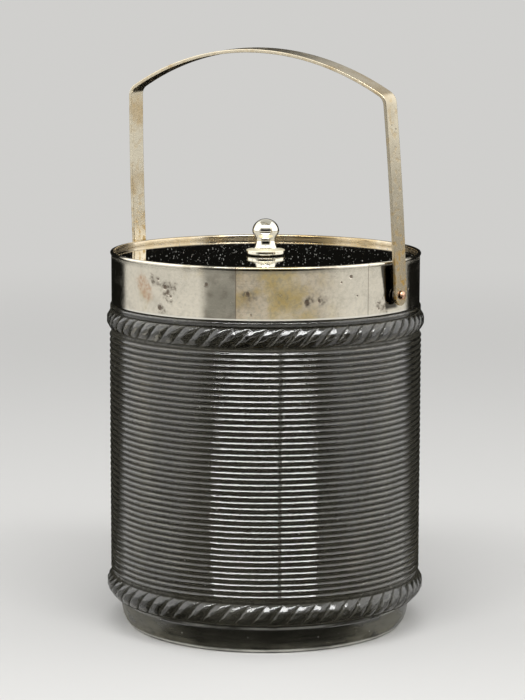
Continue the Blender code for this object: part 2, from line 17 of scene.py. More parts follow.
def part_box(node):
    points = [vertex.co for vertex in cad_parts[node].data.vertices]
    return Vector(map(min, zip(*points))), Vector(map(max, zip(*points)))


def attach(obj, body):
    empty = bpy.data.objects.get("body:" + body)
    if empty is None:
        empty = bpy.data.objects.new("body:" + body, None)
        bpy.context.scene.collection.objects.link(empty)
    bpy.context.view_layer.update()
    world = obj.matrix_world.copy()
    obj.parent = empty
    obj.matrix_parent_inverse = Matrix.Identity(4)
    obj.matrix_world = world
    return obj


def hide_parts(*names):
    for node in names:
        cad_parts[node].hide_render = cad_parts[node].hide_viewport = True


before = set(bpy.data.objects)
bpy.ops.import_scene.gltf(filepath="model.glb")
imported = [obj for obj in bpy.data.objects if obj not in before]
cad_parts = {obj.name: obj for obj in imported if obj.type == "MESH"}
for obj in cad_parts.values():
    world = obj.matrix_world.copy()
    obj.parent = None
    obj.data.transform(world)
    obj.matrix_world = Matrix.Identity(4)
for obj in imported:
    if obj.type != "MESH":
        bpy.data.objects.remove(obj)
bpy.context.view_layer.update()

# %% [markdown]
# ## The camera
# The camera comes first, because it decides which details are worth making. It stands where the
# photographer stood: a good 70 cm away, a little higher than the bail, looking slightly down. The pot is
# turned so that the line through the bail's pivots runs away from us to the right.
# A long lens keeps the sides of the pot nearly parallel. Its focal length is written as a share of the
# picture's height, and like the camera's place it was fitted to the photo.

# %% Stand the camera in front of the pot
PIVOT_TURN = math.radians(35.8)
CAMERA_AWAY = 0.7224
CAMERA_HEIGHT = 0.18784
CAMERA_ASIDE = -0.00085
CAMERA_DOWN = math.radians(8.453)
CAMERA_ROLL = math.radians(0.147)
SENSOR = 36.0
FOCAL_SHARE = 3.5555

camera_data = bpy.data.cameras.new("portrait_camera")
camera_data.sensor_width = SENSOR
camera_data.lens = SENSOR * FOCAL_SHARE
camera_data.clip_start = 0.05
camera_data.clip_end = 60
camera = bpy.data.objects.new("portrait_camera", camera_data)
turn = Matrix.Rotation(PIVOT_TURN, 4, "Z")
stand = Matrix.Translation((CAMERA_ASIDE, -CAMERA_AWAY, CAMERA_HEIGHT))
tilt = Matrix.Rotation(math.pi / 2 - CAMERA_DOWN, 4, "X") @ Matrix.Rotation(CAMERA_ROLL, 4, "Z")
camera.matrix_world = turn @ stand @ tilt
bpy.context.scene.collection.objects.link(camera)
bpy.context.scene.camera = camera
bpy.context.scene.view_settings.view_transform = "Standard"
print("the lens is", round(camera_data.lens, 1), "mm long")

# %% [markdown]
# ## Writing node sums as Python
# A finish is a small sum: so much silver here, so much tarnish there. Wiring Math nodes by hand hides that
# sum, so one small class wraps a socket and lets us write it with plus, minus and times. The reflected
# forms are there so that `1 - mask` works as well as `mask - 1`.

# %% A wire that can be used in sums
class Wire:
    """One output of a node. A sum on wires adds its Math nodes."""

    def __init__(self, recipe, socket):
        self.recipe = recipe
        self.socket = socket

    def __add__(self, other):
        return self.recipe.maths("ADD", self, other)

    def __radd__(self, other):
        return self.recipe.maths("ADD", other, self)

    def __sub__(self, other):
        return self.recipe.maths("SUBTRACT", self, other)

    def __rsub__(self, other):
        return self.recipe.maths("SUBTRACT", other, self)

    def __mul__(self, other):
        return self.recipe.maths("MULTIPLY", self, other)

    def __rmul__(self, other):
        return self.recipe.maths("MULTIPLY", other, self)

    def __pow__(self, other):
        return self.recipe.maths("POWER", self, other)

    def output(self, name):
        """Give another output of the same node."""
        return Wire(self.recipe, self.socket.node.outputs[name])


# %% [markdown]
# Every node comes from one method. It takes the node's type, then its settings, then what goes into its
# sockets. The short methods under it name the few moves that all the finishes share: a height, cloudy
# noise, round specks, a soft step from 0 to 1, and a mix of two colours.

# %% A recipe that makes nodes
class Recipe:
    """The node tree of a material or of the world."""

    def __init__(self, owner):
        owner.use_nodes = True
        self.tree = owner.node_tree
        self.tree.nodes.clear()

    def node(self, kind, settings=None, sockets=None, output=0):
        """Make a node, choose its settings, then fill or link its sockets."""
        made = self.tree.nodes.new(kind)
        for name, value in (settings or {}).items():
            setattr(made, name, value)
        for name, value in (sockets or {}).items():
            if isinstance(value, Wire):
                self.tree.links.new(value.socket, made.inputs[name])
            else:
                made.inputs[name].default_value = value
        return Wire(self, made.outputs[output]) if made.outputs else None

    def maths(self, operation, *values):
        """Work on plain values."""
        return self.node("ShaderNodeMath", {"operation": operation}, dict(enumerate(values)))

    def vectors(self, operation, *values):
        """Work on vectors. A length and a dot product come out as plain values."""
        plain = operation in ("LENGTH", "DOT_PRODUCT")
        return self.node("ShaderNodeVectorMath", {"operation": operation}, dict(enumerate(values)),
                         "Value" if plain else "Vector")

    def place(self):
        """Give the point on the piece, in metres."""
        return self.node("ShaderNodeTexCoord", output="Object")

    def apart(self, point, axis="Z"):
        """Give one coordinate of a point. The other two are its other outputs."""
        return self.node("ShaderNodeSeparateXYZ", None, {0: point}, axis)

    def within(self, value, start, full, fading, end):
        """Rise softly from 0 at start to 1 at full, stay, and fall from fading to 0 at end."""
        return self.between(value, start, full) * self.between(value, end, fading)

    def between(self, value, low, high):
        """Step softly from 0 at low to 1 at high."""
        return self.node("ShaderNodeMapRange", {"interpolation_type": "SMOOTHSTEP"},
                         {"Value": value, "From Min": low, "From Max": high})

    def cloud(self, per_metre, detail=4, stretch=(1, 1, 1)):
        """Give cloudy noise with about that many blotches to the metre."""
        stretched = self.vectors("MULTIPLY", self.place(), stretch)
        return self.node("ShaderNodeTexNoise", None,
                         {"Vector": stretched, "Scale": per_metre, "Detail": detail})

    def specks(self, per_metre, size, share):
        """Give round specks: size is a share of their spacing, share is how many of them show."""
        cells = self.node("ShaderNodeTexVoronoi", None, {"Vector": self.place(), "Scale": per_metre})
        lottery = self.node("ShaderNodeSeparateColor", None, {"Color": cells.output("Color")})
        chosen = self.between(lottery, 1 - share, 1 - share * 0.8)
        return self.between(cells, size, size * 0.45) * chosen

    def mix(self, share, first, second):
        """Mix two colours: 0 is all the first, 1 all the second."""
        return self.node("ShaderNodeMix", {"data_type": "RGBA"},
                         {0: share, 6: first, 7: second}, output=2)

    def coats(self, colour, *layers):
        """Lay coats on a colour, one over another. Each is a share from 0 to 1 and a colour."""
        for share, coat in layers:
            colour = self.mix(share, colour, coat)
        return colour

    def relief(self, height, depth):
        """Turn a height between 0 and 1 into a bump of that depth in metres."""
        return self.node("ShaderNodeBump", None, {"Height": height, "Distance": depth})


class Finish(Recipe):
    """A material with one Principled shader on top."""

    def __init__(self, name):
        self.material = bpy.data.materials.new(name)
        super().__init__(self.material)

    def shader(self, **sockets):
        """Make a Principled shader. A socket's name is written with underscores."""
        named = {name.replace("_", " "): value for name, value in sockets.items()}
        return self.node("ShaderNodeBsdfPrincipled", None, named)

    def seal(self, surface, inside=None):
        """Send the finished shader to the surface, and what fills the piece to its volume."""
        self.node("ShaderNodeOutputMaterial", None,
                  {"Surface": surface, "Volume": inside} if inside else {"Surface": surface})
        print("finish", self.material.name, "has", len(self.tree.nodes), "nodes")
        return self.material


# %% [markdown]
# ## The table and the room
# Metal and glass look like what stands round them. The pot stands on a plain pale table in a long pale room
# with two dim ends, one behind the pot and one behind the camera. Straight on, the backdrop hides the dim
# end. The mirror of the lid looks over it and reads dark, and so do the glass between its bright lines and
# the front of the knob.
# The trick is Light Path. Rays that see the room by way of metal and glass get this picture of it, and rays
# that see it straight get the pale backdrop. All other rays get one plain level of light, so that colours
# render about as they are written.

# %% Paint the room
PALE = (0.63, 0.625, 0.61, 1)
DIM_END = (0.006, 0.0057, 0.0048, 1)
CEILING = (0.50, 0.50, 0.48, 1)
ROOM_LIGHT = (0.24, 0.24, 0.24, 1)

world = bpy.data.worlds.new("studio")
bpy.context.scene.world = world
room = Recipe(world)


def seen(path):
    """Give 1 for rays that see the room straight, in a mirror or through glass."""
    rays = path + path.output("Is Glossy Ray") + path.output("Is Transmission Ray")
    return path.recipe.between(rays, 0, 0.5)


def sine(degrees):
    """Give the height of a direction that looks up by so many degrees."""
    return math.sin(math.radians(degrees))


direction = room.node("ShaderNodeTexCoord", output="Generated")
upward = room.apart(direction)
down_the_room = (math.sin(PIVOT_TURN), -math.cos(PIVOT_TURN), 0)
across_the_room = (math.cos(PIVOT_TURN), math.sin(PIVOT_TURN), 0)
toward = room.vectors("DOT_PRODUCT", direction, down_the_room)
ahead = room.between(toward, sine(38), sine(48)) * room.between(upward, sine(1), sine(4.5))
behind = room.between(toward, -sine(38), -sine(48))
dim = (ahead + behind) * room.between(upward, sine(28), sine(20))
overhead = room.between(upward, sine(40), sine(62))
picture = room.coats(PALE, (dim, DIM_END), (overhead, CEILING))
rays = room.node("ShaderNodeLightPath", output="Is Camera Ray")
light = room.coats(ROOM_LIGHT, (seen(rays), picture), (rays, PALE))
sky = room.node("ShaderNodeBackground", None, {"Color": light})
room.node("ShaderNodeOutputWorld", None, {"Surface": sky})
print("the room has", len(room.tree.nodes), "nodes")

# %% [markdown]
# The table top is a real surface near the pot, where it has to catch the shadow. Further away it fades
# into the colour of the room, so that no horizon cuts the picture.
# Silver and glass get their shape from dark lines, and a photographer lays dark cloth just outside the
# picture to make them. Light Path lays it here: rays that reach the table by way of metal or glass find it
# dim before and behind the pot, and a little dim at its sides. Seen straight, the table stays pale.

# %% Make the table
TABLE_REACH = 5.0
SHADOW_REACH = (0.30, 0.95)
CLOTH_REACH = (0.50, 0.25)
TABLE_COLOUR = (0.64, 0.635, 0.62, 1)



def made_of(shape, name):
    """Put a shape in the scene as an object of that name."""
    mesh = bpy.data.meshes.new(name)
    shape.to_mesh(mesh)
    shape.free()
    made = bpy.data.objects.new(name, mesh)
    bpy.context.scene.collection.objects.link(made)
    return made


table_shape = bmesh.new()
bmesh.ops.create_grid(table_shape, x_segments=8, y_segments=8, size=TABLE_REACH)
table = made_of(table_shape, "table")

paint = Finish("table_paint")
distance = paint.vectors("LENGTH", paint.place())
far = paint.between(distance, *SHADOW_REACH) \
    * seen(paint.node("ShaderNodeLightPath", output="Is Camera Ray"))
near_top = paint.shader(Base_Color=TABLE_COLOUR, Roughness=0.75, Specular_IOR_Level=0.2)
far_top = paint.node("ShaderNodeEmission", None, {"Color": PALE})
blended = paint.node("ShaderNodeMixShader", None, {0: far, 1: near_top, 2: far_top})
backward = paint.vectors("DOT_PRODUCT", paint.vectors("NORMALIZE", paint.place()), down_the_room)
paths = paint.node("ShaderNodeLightPath", output="Is Glossy Ray")
in_metal = paint.between(paths + paths.output("Is Transmission Ray"), 0, 0.5)
behind_pot = paint.between(backward, -sine(30), -sine(42))
before_pot = paint.between(backward, sine(32), sine(46))
near_pot = paint.between(distance, *CLOTH_REACH) * (0.25 + before_pot * 0.75)
at_dim_end = paint.between(behind_pot + near_pot, 0, 1) * in_metal
dim_top = paint.node("ShaderNodeEmission", None, {"Color": DIM_END})
table_paint = paint.node("ShaderNodeMixShader", None, {0: at_dim_end, 1: blended, 2: dim_top})
table.data.materials.append(paint.seal(table_paint))

# %% [markdown]
# ## The lamps
# A soft box is a lit sheet of cloth. What counts is its size as the pot sees it, and how bright the cloth
# is. The bank stands in front and above: every rib of the glass catches it as one thin bright line, and its
# two ends are why those lines stop short of the sides. There two tall dim sheets take over, and the lines
# turn broad and grey. The sheets stand beside the pot, so in other views they would block the background:
# they are hidden from rays that look straight or through glass.

# %% Hang the soft boxes
AIM = Vector((0, 0, 0.075))
# Watts for each square metre of cloth and each unit of glow
WATTS_PER_GLOW = 4


def soft_box(name, azimuth, elevation, away, width, height, glow, hidden=False):
    """Hang a lit sheet. Azimuth is degrees to the right of the camera, glow sets the cloth's brightness."""
    lamp = bpy.data.lights.new(name, "AREA")
    lamp.shape = "RECTANGLE"
    lamp.size = width
    lamp.size_y = height
    lamp.energy = WATTS_PER_GLOW * width * height * glow
    hung = bpy.data.objects.new(name, lamp)
    around = PIVOT_TURN + math.radians(azimuth)
    level = math.cos(math.radians(elevation)) * away
    spot = Vector((math.sin(around) * level, -math.cos(around) * level, sine(elevation) * away))
    hung.matrix_world = Matrix.Translation(AIM + spot) @ spot.to_track_quat("Z", "Y").to_matrix().to_4x4()
    hung.visible_camera = not hidden
    hung.visible_transmission = not hidden
    bpy.context.scene.collection.objects.link(hung)
    print(name, "is", round(spot.length, 2), "m away")


soft_box("front_bank", azimuth=-0.4, elevation=54.5, away=1.15, width=1.35, height=0.31, glow=8.3)
soft_box("left_sheet", azimuth=-94, elevation=31, away=1.3, width=1.9, height=1.5, glow=0.8, hidden=True)
soft_box("right_sheet", azimuth=89, elevation=31, away=1.3, width=2.0, height=1.5, glow=0.8, hidden=True)

# %% [markdown]
# ## Rings of points
# Nearly everything on this pot was turned, pressed in a round mould or bent from a strap. All three are a
# row of rings that are skinned together. A turned piece has level rings, a strap has one small ring after
# another along its route. So one helper skins rings for all of them. Where a fine ring meets a coarser one,
# it gathers several of its points to one step of the other.

# %% Skin a row of rings
def skin(name, rings, loop=False):
    """Make an object from rings of points. A ring of one point closes an end."""
    shape = bmesh.new()
    rows = [[shape.verts.new(point) for point in ring] for ring in rings]
    for lower, upper in zip(rows, rows[1:] + (rows[:1] if loop else [])):
        few, many = sorted((lower, upper), key=len)
        for step in range(max(len(few), 1) if len(few) > 1 else len(many)):
            if len(few) == 1:
                corners = [few[0], many[step], many[(step + 1) % len(many)]]
            else:
                gather = len(many) // len(few)
                run = [many[(step * gather + more) % len(many)] for more in range(gather + 1)]
                corners = [few[step], few[(step + 1) % len(few)]] + run[::-1]
            shape.faces.new(corners)
    if not loop:
        for row in (rows[0], rows[-1]):
            if len(row) > 1:
                shape.faces.new(row)
    bmesh.ops.recalc_face_normals(shape, faces=shape.faces)
    return made_of(shape, name)


def level_ring(radius, height, columns):
    """Give a level ring round the pot's axis."""
    if radius == 0:
        return [Vector((0, 0, height))]
    angles = [math.tau * column / columns for column in range(columns)]
    return [Vector((radius * math.cos(angle), radius * math.sin(angle), height)) for angle in angles]


# %% [markdown]
# A section is written as its corners. Real edges are never sharp, so each corner says how far it is eased,
# and a short curve replaces it. Arcs come from one more helper.

# %% Ease corners and draw arcs
EASE_POINTS = 4
SHARP = math.radians(38)


def eased(corners, closed=False):
    """Give the points of a section from corners (radius, height, ease)."""
    points = []
    count = len(corners)
    for index, (radius, height, ease) in enumerate(corners):
        corner = Vector((radius, height))
        end = not closed and index in (0, count - 1)
        if end or ease == 0:
            points.append(corner)
            continue
        before = Vector(corners[index - 1][:2])
        after = Vector(corners[(index + 1) % count][:2])
        first = corner + (before - corner).normalized() * ease
        last = corner + (after - corner).normalized() * ease
        for step in range(EASE_POINTS + 1):
            share = step / EASE_POINTS
            points.append(first.lerp(corner, share).lerp(corner.lerp(last, share), share))
    return [tuple(point) for point in points]


def arc(centre, radii, start, end, count):
    """Give points on an arc from start to end, in degrees."""
    points = []
    for index in range(count):
        angle = math.radians(start + (end - start) * index / (count - 1))
        points.append((centre[0] + radii[0] * math.cos(angle), centre[1] + radii[1] * math.sin(angle)))
    return points


def turned(name, section, columns, loop=True):
    """Turn a section of (radius, height) points round the pot's axis."""
    return skin(name, [level_ring(radius, height, columns) for radius, height in section], loop)


# %% [markdown]
# Every piece then goes through the same last steps. It is shaded smoothly except at true edges, it gets its
# finish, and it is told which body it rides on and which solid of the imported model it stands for.

# %% Dress a piece
def dress(piece, finish, body, node, flat_faces=True):
    """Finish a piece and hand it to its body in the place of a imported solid."""
    mesh = piece.data
    mesh.shade_smooth()
    mesh.set_sharp_from_angle(angle=SHARP)
    mesh.materials.append(finish)
    if flat_faces:
        weighted = piece.modifiers.new("flat_faces_stay_flat", "WEIGHTED_NORMAL")
        weighted.keep_sharp = True
    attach(piece, body)
    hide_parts(node)
    print(piece.name, "has", len(mesh.polygons), "faces and rides on", body)


# %% [markdown]
# Some pieces have a hole or a slot that a row of rings can't leave open. A Boolean cuts any shape out of
# any other. It comes last, because the faces round a cut no longer follow the rings. It can leave two points
# in one place, which would open the skin, so they are welded.

# %% Cut one shape out of another
WELD = 0.0000001


def cut(piece, cutter):
    """Cut the cutter's shape out of a piece and throw the cutter away."""
    cutting = piece.modifiers.new("cut", "BOOLEAN")
    cutting.operation = "DIFFERENCE"
    cutting.solver = "EXACT"
    cutting.object = cutter
    bpy.context.view_layer.update()
    depsgraph = bpy.context.evaluated_depsgraph_get()
    cut_mesh = bpy.data.meshes.new_from_object(piece.evaluated_get(depsgraph))
    welded = bmesh.new()
    welded.from_mesh(cut_mesh)
    bmesh.ops.remove_doubles(welded, verts=welded.verts, dist=WELD)
    welded.to_mesh(cut_mesh)
    welded.free()
    piece.modifiers.clear()
    piece.data = cut_mesh
    bpy.data.objects.remove(cutter)


# %% [markdown]
# ## The glass jar
# The jar was pressed in a mould of three parts. Forty-two level ribs run round it, with a twisted cord
# above and below them. We could put the ribs in a bump map, but their outline shows at both sides and every
# rib has to bend the light, so they are real. The jar's reach, its top and the collar's place are read from
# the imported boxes. The ribs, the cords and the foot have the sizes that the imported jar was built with.

# %% Measure the jar
jar_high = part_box("glass_jar")[1]
collar_low, collar_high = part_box("collar")
SEAT_GAP = 0.0003
BEAD_PROUD = 0.0003
COLLAR_RADIUS = collar_high.y - BEAD_PROUD
RIB_COUNT = 42
RIB_PITCH = 0.001675
RIB_CREST = COLLAR_RADIUS + 0.0006
RIB_VALLEY = RIB_CREST - 0.00045
FOOT_TOP = 0.0086
BASE_ROPE_HEIGHT = 0.0068
SHOULDER_ROPE_HEIGHT = 0.0062
BAND_MARGIN = 0.0007
RIBS_BOTTOM = FOOT_TOP + BASE_ROPE_HEIGHT + BAND_MARGIN
RIBS_TOP = RIBS_BOTTOM + RIB_COUNT * RIB_PITCH
SHOULDER_ROPE_BOTTOM = RIBS_TOP + BAND_MARGIN
SHOULDER_ROPE_TOP = SHOULDER_ROPE_BOTTOM + SHOULDER_ROPE_HEIGHT
SHOULDER_TOP = collar_low.z - SEAT_GAP
CEMENT_WALL = 0.0018
NECK_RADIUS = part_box("mount_cement")[1].y - CEMENT_WALL - SEAT_GAP
BASE_ROPE_REACH = jar_high.y - RIB_VALLEY
SHOULDER_ROPE_REACH = BASE_ROPE_REACH - 0.0003
print("ribs from", round(1000 * RIBS_BOTTOM, 2), "to", round(1000 * RIBS_TOP, 2), "mm")

# %% [markdown]
# A rib isn't a wave. Its flanks are nearly straight and its crest is broader than the groove beside it.
# The straight flank matters: all of it faces the bank of light at once, which makes the bright line broad.
# The mould's three parts never meet perfectly. At each seam the ribs slip by about a tenth of a millimetre,
# and a thin fin of glass stands up.

# %% Draw one rib and the mould's seams
RIB_STEPS = ((0.0, 0.0), (0.08, 0.07), (0.2, 0.38), (0.33, 0.74), (0.42, 0.95), (0.5, 1.0),
             (0.58, 0.95), (0.67, 0.74), (0.8, 0.38), (0.92, 0.07))
RIB_COLUMNS = 240
SEAM_COLUMN = 207
SEAM_FIN = 0.00012
SEAM_WIDTH = 0.00016
MOULD_SLIPS = (0.00008, -0.00008, 0.00003)
RIPPLE = 0.00006
RIPPLES_PER_METRE = 45


def moulded_ring(radius, height):
    """Give a level ring as the three-part mould leaves it."""
    ring = []
    third = RIB_COLUMNS // len(MOULD_SLIPS)
    beside = math.tau / RIB_COLUMNS - SEAM_WIDTH / radius
    for column, point in enumerate(level_ring(radius, height, RIB_COLUMNS)):
        after_seam = (column - SEAM_COLUMN) % RIB_COLUMNS
        squeeze = {1: -beside, third - 1: beside}.get(after_seam % third, 0)
        point = Matrix.Rotation(squeeze, 3, "Z") @ point
        ripple = noise.noise(point * RIPPLES_PER_METRE) * RIPPLE
        slip = MOULD_SLIPS[after_seam // third]
        fin = 0 if after_seam % third else SEAM_FIN
        outward = Vector((point.x, point.y, 0)).normalized()
        ring.append(point + outward * (fin + ripple / 2) + Vector((0, 0, slip + ripple)))
    return ring


# %% [markdown]
# The cord bands are sixty strands that lean to the right as they rise. A strand winds round the cord at a
# steady pace, but the cord's surface turns away at its top and bottom. Seen from the side the strand
# therefore bends into an S. Working with the angle round the cord gives that S for nothing. The cord isn't
# quite round: its upper shoulder is nearly flat and faces the bank of light, which gives each strand one fat
# highlight. The mould maker cut fine lines along the strands too, and they break that highlight up.
# Each point also notes how deep it lies in a groove, because that is where grime and painted shade will
# gather.

# %% Draw a cord band
STRANDS = 60
STRAND_COLUMNS = 16
STRAND_LEAN = 1.5
STRAND_GROOVE = 0.0011
STRAND_LINES = 0.05
CORD_EDGE = 0.0003
CORD_ROWS = 19
# How far the cord stands out, at shares of the way from its middle to its edge
CORD_PROFILE = ((0.0, 1.0), (0.18, 1.0), (0.36, 0.95), (0.74, 0.47), (0.90, 0.16), (1.0, -0.12))


def along_profile(share):
    """Give how far the cord stands out at a share of the way to its edge."""
    for (start, here), (end, there) in zip(CORD_PROFILE, CORD_PROFILE[1:]):
        if share <= end:
            return here + (there - here) * (share - start) / (end - start)
    return CORD_PROFILE[-1][1]


def cord_rows(bottom, height, reach):
    """Give the rings of a cord band, from its bottom up, each with its points' depths in the grooves."""
    rows = []
    half = height / 2 - CORD_EDGE
    columns = STRANDS * STRAND_COLUMNS
    for row in range(CORD_ROWS):
        wound = math.pi * (row / (CORD_ROWS - 1) - 0.5)
        rise = math.sin(wound)
        stand = along_profile(abs(rise))
        ring = []
        depths = []
        for column in range(columns):
            angle = math.tau * column / columns
            strand = column / STRAND_COLUMNS - STRAND_LEAN * wound / math.pi
            lobe = abs(math.cos(math.pi * strand)) ** 0.5 + STRAND_LINES * math.cos(6 * math.pi * strand)
            groove_depth = STRAND_GROOVE * (1 + STRAND_LINES - lobe)
            radius = RIB_VALLEY + max(stand, 0) * (reach - groove_depth) + min(stand, 0) * reach
            ring.append(Vector((radius * math.cos(angle), radius * math.sin(angle),
                                bottom + height / 2 + half * rise)))
            lobe = min(max(lobe, 0), 1)
            depths.append(max((1 - lobe ** 2) ** 1.5, 4 * abs(rise) - 3.2))
        rows.append((ring, depths))
    return rows


# %% [markdown]
# Now the whole jar, as one skin: up the inside from the floor, over the lip, down the neck and shoulder,
# over both cords and all the ribs, round the foot and in to the middle of its hollow underside. It has to
# be one closed skin with its own thickness, or light wouldn't bend in it as in glass. The notes on the
# grooves are stored on the mesh as an attribute, which a material can read.

# %% Press the jar
NECK_WALL = 0.0026
BORE_FLOOR = 0.0384
BORE_TOP = NECK_RADIUS - NECK_WALL
FLOOR_LEVEL = 0.0085
FLOOR_FILLET = 0.006
LIP_ROUND = 0.0008
SHOULDER_RADIUS = COLLAR_RADIUS + 0.0004
FOOT_SETBACK = 0.0031
FOOT_RADIUS = RIB_CREST - FOOT_SETBACK
FOOT_ROUND = (0.0031, 0.0062)
FOOT_EDGE = 0.0078
FOOT_EASE = 0.0002
FOOT_BEVEL = (0.00045, 0.00075)
FOOT_GROOVE = 0.0011
GROOVE_RADIUS = FOOT_RADIUS - FOOT_GROOVE
FLAT_RADIUS = 0.012
REST_WIDTH = 0.0048
HOLLOW_SLOPE = 0.0015
HOLLOW_DEPTH = 0.0012
neck_top = jar_high.z

inside = [(0, FLOOR_LEVEL), (FLAT_RADIUS, FLOOR_LEVEL), (2 * FLAT_RADIUS, FLOOR_LEVEL)]
inside += arc((BORE_FLOOR - FLOOR_FILLET, FLOOR_LEVEL + FLOOR_FILLET), (FLOOR_FILLET, FLOOR_FILLET),
              -90, 0, 12)
inside += [(BORE_FLOOR + (BORE_TOP - BORE_FLOOR) * share, FLOOR_LEVEL + (neck_top - FLOOR_LEVEL) * share)
           for share in (0.3, 0.5, 0.7, 0.9)]
lip = eased([(BORE_TOP, neck_top - 2 * LIP_ROUND, 0), (BORE_TOP, neck_top, LIP_ROUND),
             (NECK_RADIUS, neck_top, LIP_ROUND), (NECK_RADIUS, SHOULDER_TOP, 0.0006),
             (SHOULDER_RADIUS, SHOULDER_TOP, 0.0006), (SHOULDER_RADIUS, SHOULDER_ROPE_TOP, 0.0002),
             (RIB_VALLEY, SHOULDER_ROPE_TOP - 0.0001, 0)])
jar_rows = [(level_ring(radius, height, RIB_COLUMNS), [0]) for radius, height in inside + lip]
jar_rows += cord_rows(SHOULDER_ROPE_BOTTOM, SHOULDER_ROPE_HEIGHT, SHOULDER_ROPE_REACH)[::-1]
jar_rows.append((moulded_ring(RIB_VALLEY, RIBS_TOP + BAND_MARGIN / 2), [0.6]))
for rib in range(RIB_COUNT):
    for share, swell in RIB_STEPS:
        rib_radius = RIB_VALLEY + (RIB_CREST - RIB_VALLEY) * swell
        jar_rows.append((moulded_ring(rib_radius, RIBS_TOP - (rib + share) * RIB_PITCH), [1 - swell]))
jar_rows.append((moulded_ring(RIB_VALLEY, RIBS_BOTTOM), [0.6]))
jar_rows += cord_rows(FOOT_TOP, BASE_ROPE_HEIGHT, BASE_ROPE_REACH)[::-1]
foot = eased([(RIB_VALLEY - 0.0003, FOOT_TOP + 0.0001, 0), (GROOVE_RADIUS, FOOT_TOP - 0.0001, FOOT_EASE),
              (GROOVE_RADIUS, FOOT_EDGE + 0.0002, FOOT_EASE),
              (FOOT_RADIUS - FOOT_BEVEL[0], FOOT_EDGE, FOOT_EASE),
              (FOOT_RADIUS, FOOT_EDGE - FOOT_BEVEL[1], FOOT_EASE), (FOOT_RADIUS, FOOT_ROUND[1], 0)])
foot += arc((FOOT_RADIUS - FOOT_ROUND[0], FOOT_ROUND[1]), FOOT_ROUND, 0, -90, 14)[1:]
rest_inner = FOOT_RADIUS - FOOT_ROUND[0] - REST_WIDTH
foot += eased([(rest_inner + 0.001, 0, 0), (rest_inner, 0, 0.0004),
               (rest_inner - HOLLOW_SLOPE, HOLLOW_DEPTH, 0.0005), (FLAT_RADIUS, HOLLOW_DEPTH, 0)])
foot.append((0, HOLLOW_DEPTH))
jar_rows += [(level_ring(radius, height, RIB_COLUMNS), [0]) for radius, height in foot]
jar = skin("pressed_glass_jar", [ring for ring, depths in jar_rows])
groove_notes = [depth for ring, depths in jar_rows for depth in (depths * len(ring))[:len(ring)]]
jar.data.attributes.new("groove", "FLOAT", "POINT").data.foreach_set("value", groove_notes)
print("the jar is skinned from", len(jar_rows), "rings")

# %% [markdown]
# The glass is tinted grey. The tint stands in for the dark ground that clear glass shows: a painted shade.
# Light loses some at each surface it crosses and more in the thickness of the wall, so a modest tint makes a
# dark jar. The thick foot is the darkest part, and its surface is painted deeper still, a painted dark
# reflection. The index says how much glass bends and mirrors light. It is 1.5 to 1.6 in real tableware.
# Here it is set higher, because that gives the ribs the sparkle that they have in the photo.
# Old glass is never perfectly clean or flat: the surface ripples a little, and a thin film with dust specks
# lies on it. The film's share grows towards the foot, so the lower ribs read lighter. Grime sits in the
# grooves, where the mesh carries its notes, and the grooves are also painted dark, a painted shade. The
# groove over the foot's bevel is painted dark, a painted shade. The lower edge of the foot and the bevel
# over it are painted white, a painted highlight, and both sides of the foot are painted lighter with a
# scuffed film, a painted reflection.

# %% Mix the glass
# The grey tint stands in for the dark ground that clear glass shows: a painted shade.
SHADE_TINT = (0.46, 0.45, 0.385, 1)
WARM_SHADE_TINT = (0.47, 0.42, 0.32, 1)
FOOT_PAINTED_DARK = (0.05, 0.05, 0.044, 1)
SHADE_IN_THE_GLASS = (0.42, 0.41, 0.33, 1)
SHADE_PER_METRE = 50
FILM = (0.17, 0.162, 0.125, 1)
GRIME_AND_SHADE = (0.030, 0.028, 0.021, 1)
DUST = (0.52, 0.51, 0.46, 1)
FOOT_HIGHLIGHT = (0.66, 0.65, 0.60, 1)
GLASS_INDEX = 1.82

glass = Finish("smoky_pressed_glass")
glass_level = glass.apart(glass.place())
tint = glass.mix(glass.between(glass.cloud(28, 3), 0.35, 0.65), SHADE_TINT, WARM_SHADE_TINT)
# The foot's surface is painted darker still: a painted dark reflection.
tint = glass.mix(glass.between(glass_level, FOOT_TOP + 0.001, FOOT_TOP - 0.001), tint, FOOT_PAINTED_DARK)
polish = 0.025 + glass.between(glass.cloud(160, 4), 0.45, 0.75) * 0.05
on_cords = glass.between(glass_level, RIBS_TOP, RIBS_TOP + 0.0006) \
    + glass.within(glass_level, FOOT_TOP - 0.0002, FOOT_TOP + 0.0004, RIBS_BOTTOM - 0.0006, RIBS_BOTTOM)
ripples = glass.cloud(420, 3) * 0.6 + glass.cloud(1600, 2) * 0.4 + glass.cloud(1300, 4) * on_cords * 2.2
clear = glass.shader(Base_Color=tint, Roughness=polish, IOR=GLASS_INDEX, Transmission_Weight=1.0,
                     Normal=glass.relief(ripples, 0.00003))
dust = glass.specks(620, 0.16, 0.10)
groove = glass.node("ShaderNodeAttribute", {"attribute_name": "groove"}, output="Fac")
# Grime sits in the grooves, and the grooves are also painted dark: grime and painted shade.
grime_and_shade = glass.between(groove + glass.cloud(900, 3) * 0.4, 0.55, 1.05)
# The foot's bevel and lower edge are painted white: a painted highlight.
bevel = glass.within(glass_level, FOOT_EDGE - 0.0008, FOOT_EDGE - 0.0004, FOOT_EDGE - 0.0001,
                     FOOT_EDGE + 0.0001)
# The groove over the bevel is painted dark: a painted shade.
painted_groove_shade = glass.within(glass_level, FOOT_EDGE - 0.0001, FOOT_EDGE + 0.0001, FOOT_TOP + 0.0003,
                         FOOT_TOP + 0.0010)
rest_edge = glass.between(glass_level, 0.0015, 0.0008)
over_edge = glass.between(glass_level, 0.0036, 0.0022)
scuffs = glass.between(glass.cloud(110, 5, (1, 1, 3.5)), 0.32, 0.62)
painted_foot_highlight = bevel * (0.3 + scuffs * 0.6) + rest_edge * (0.7 + scuffs * 0.3)
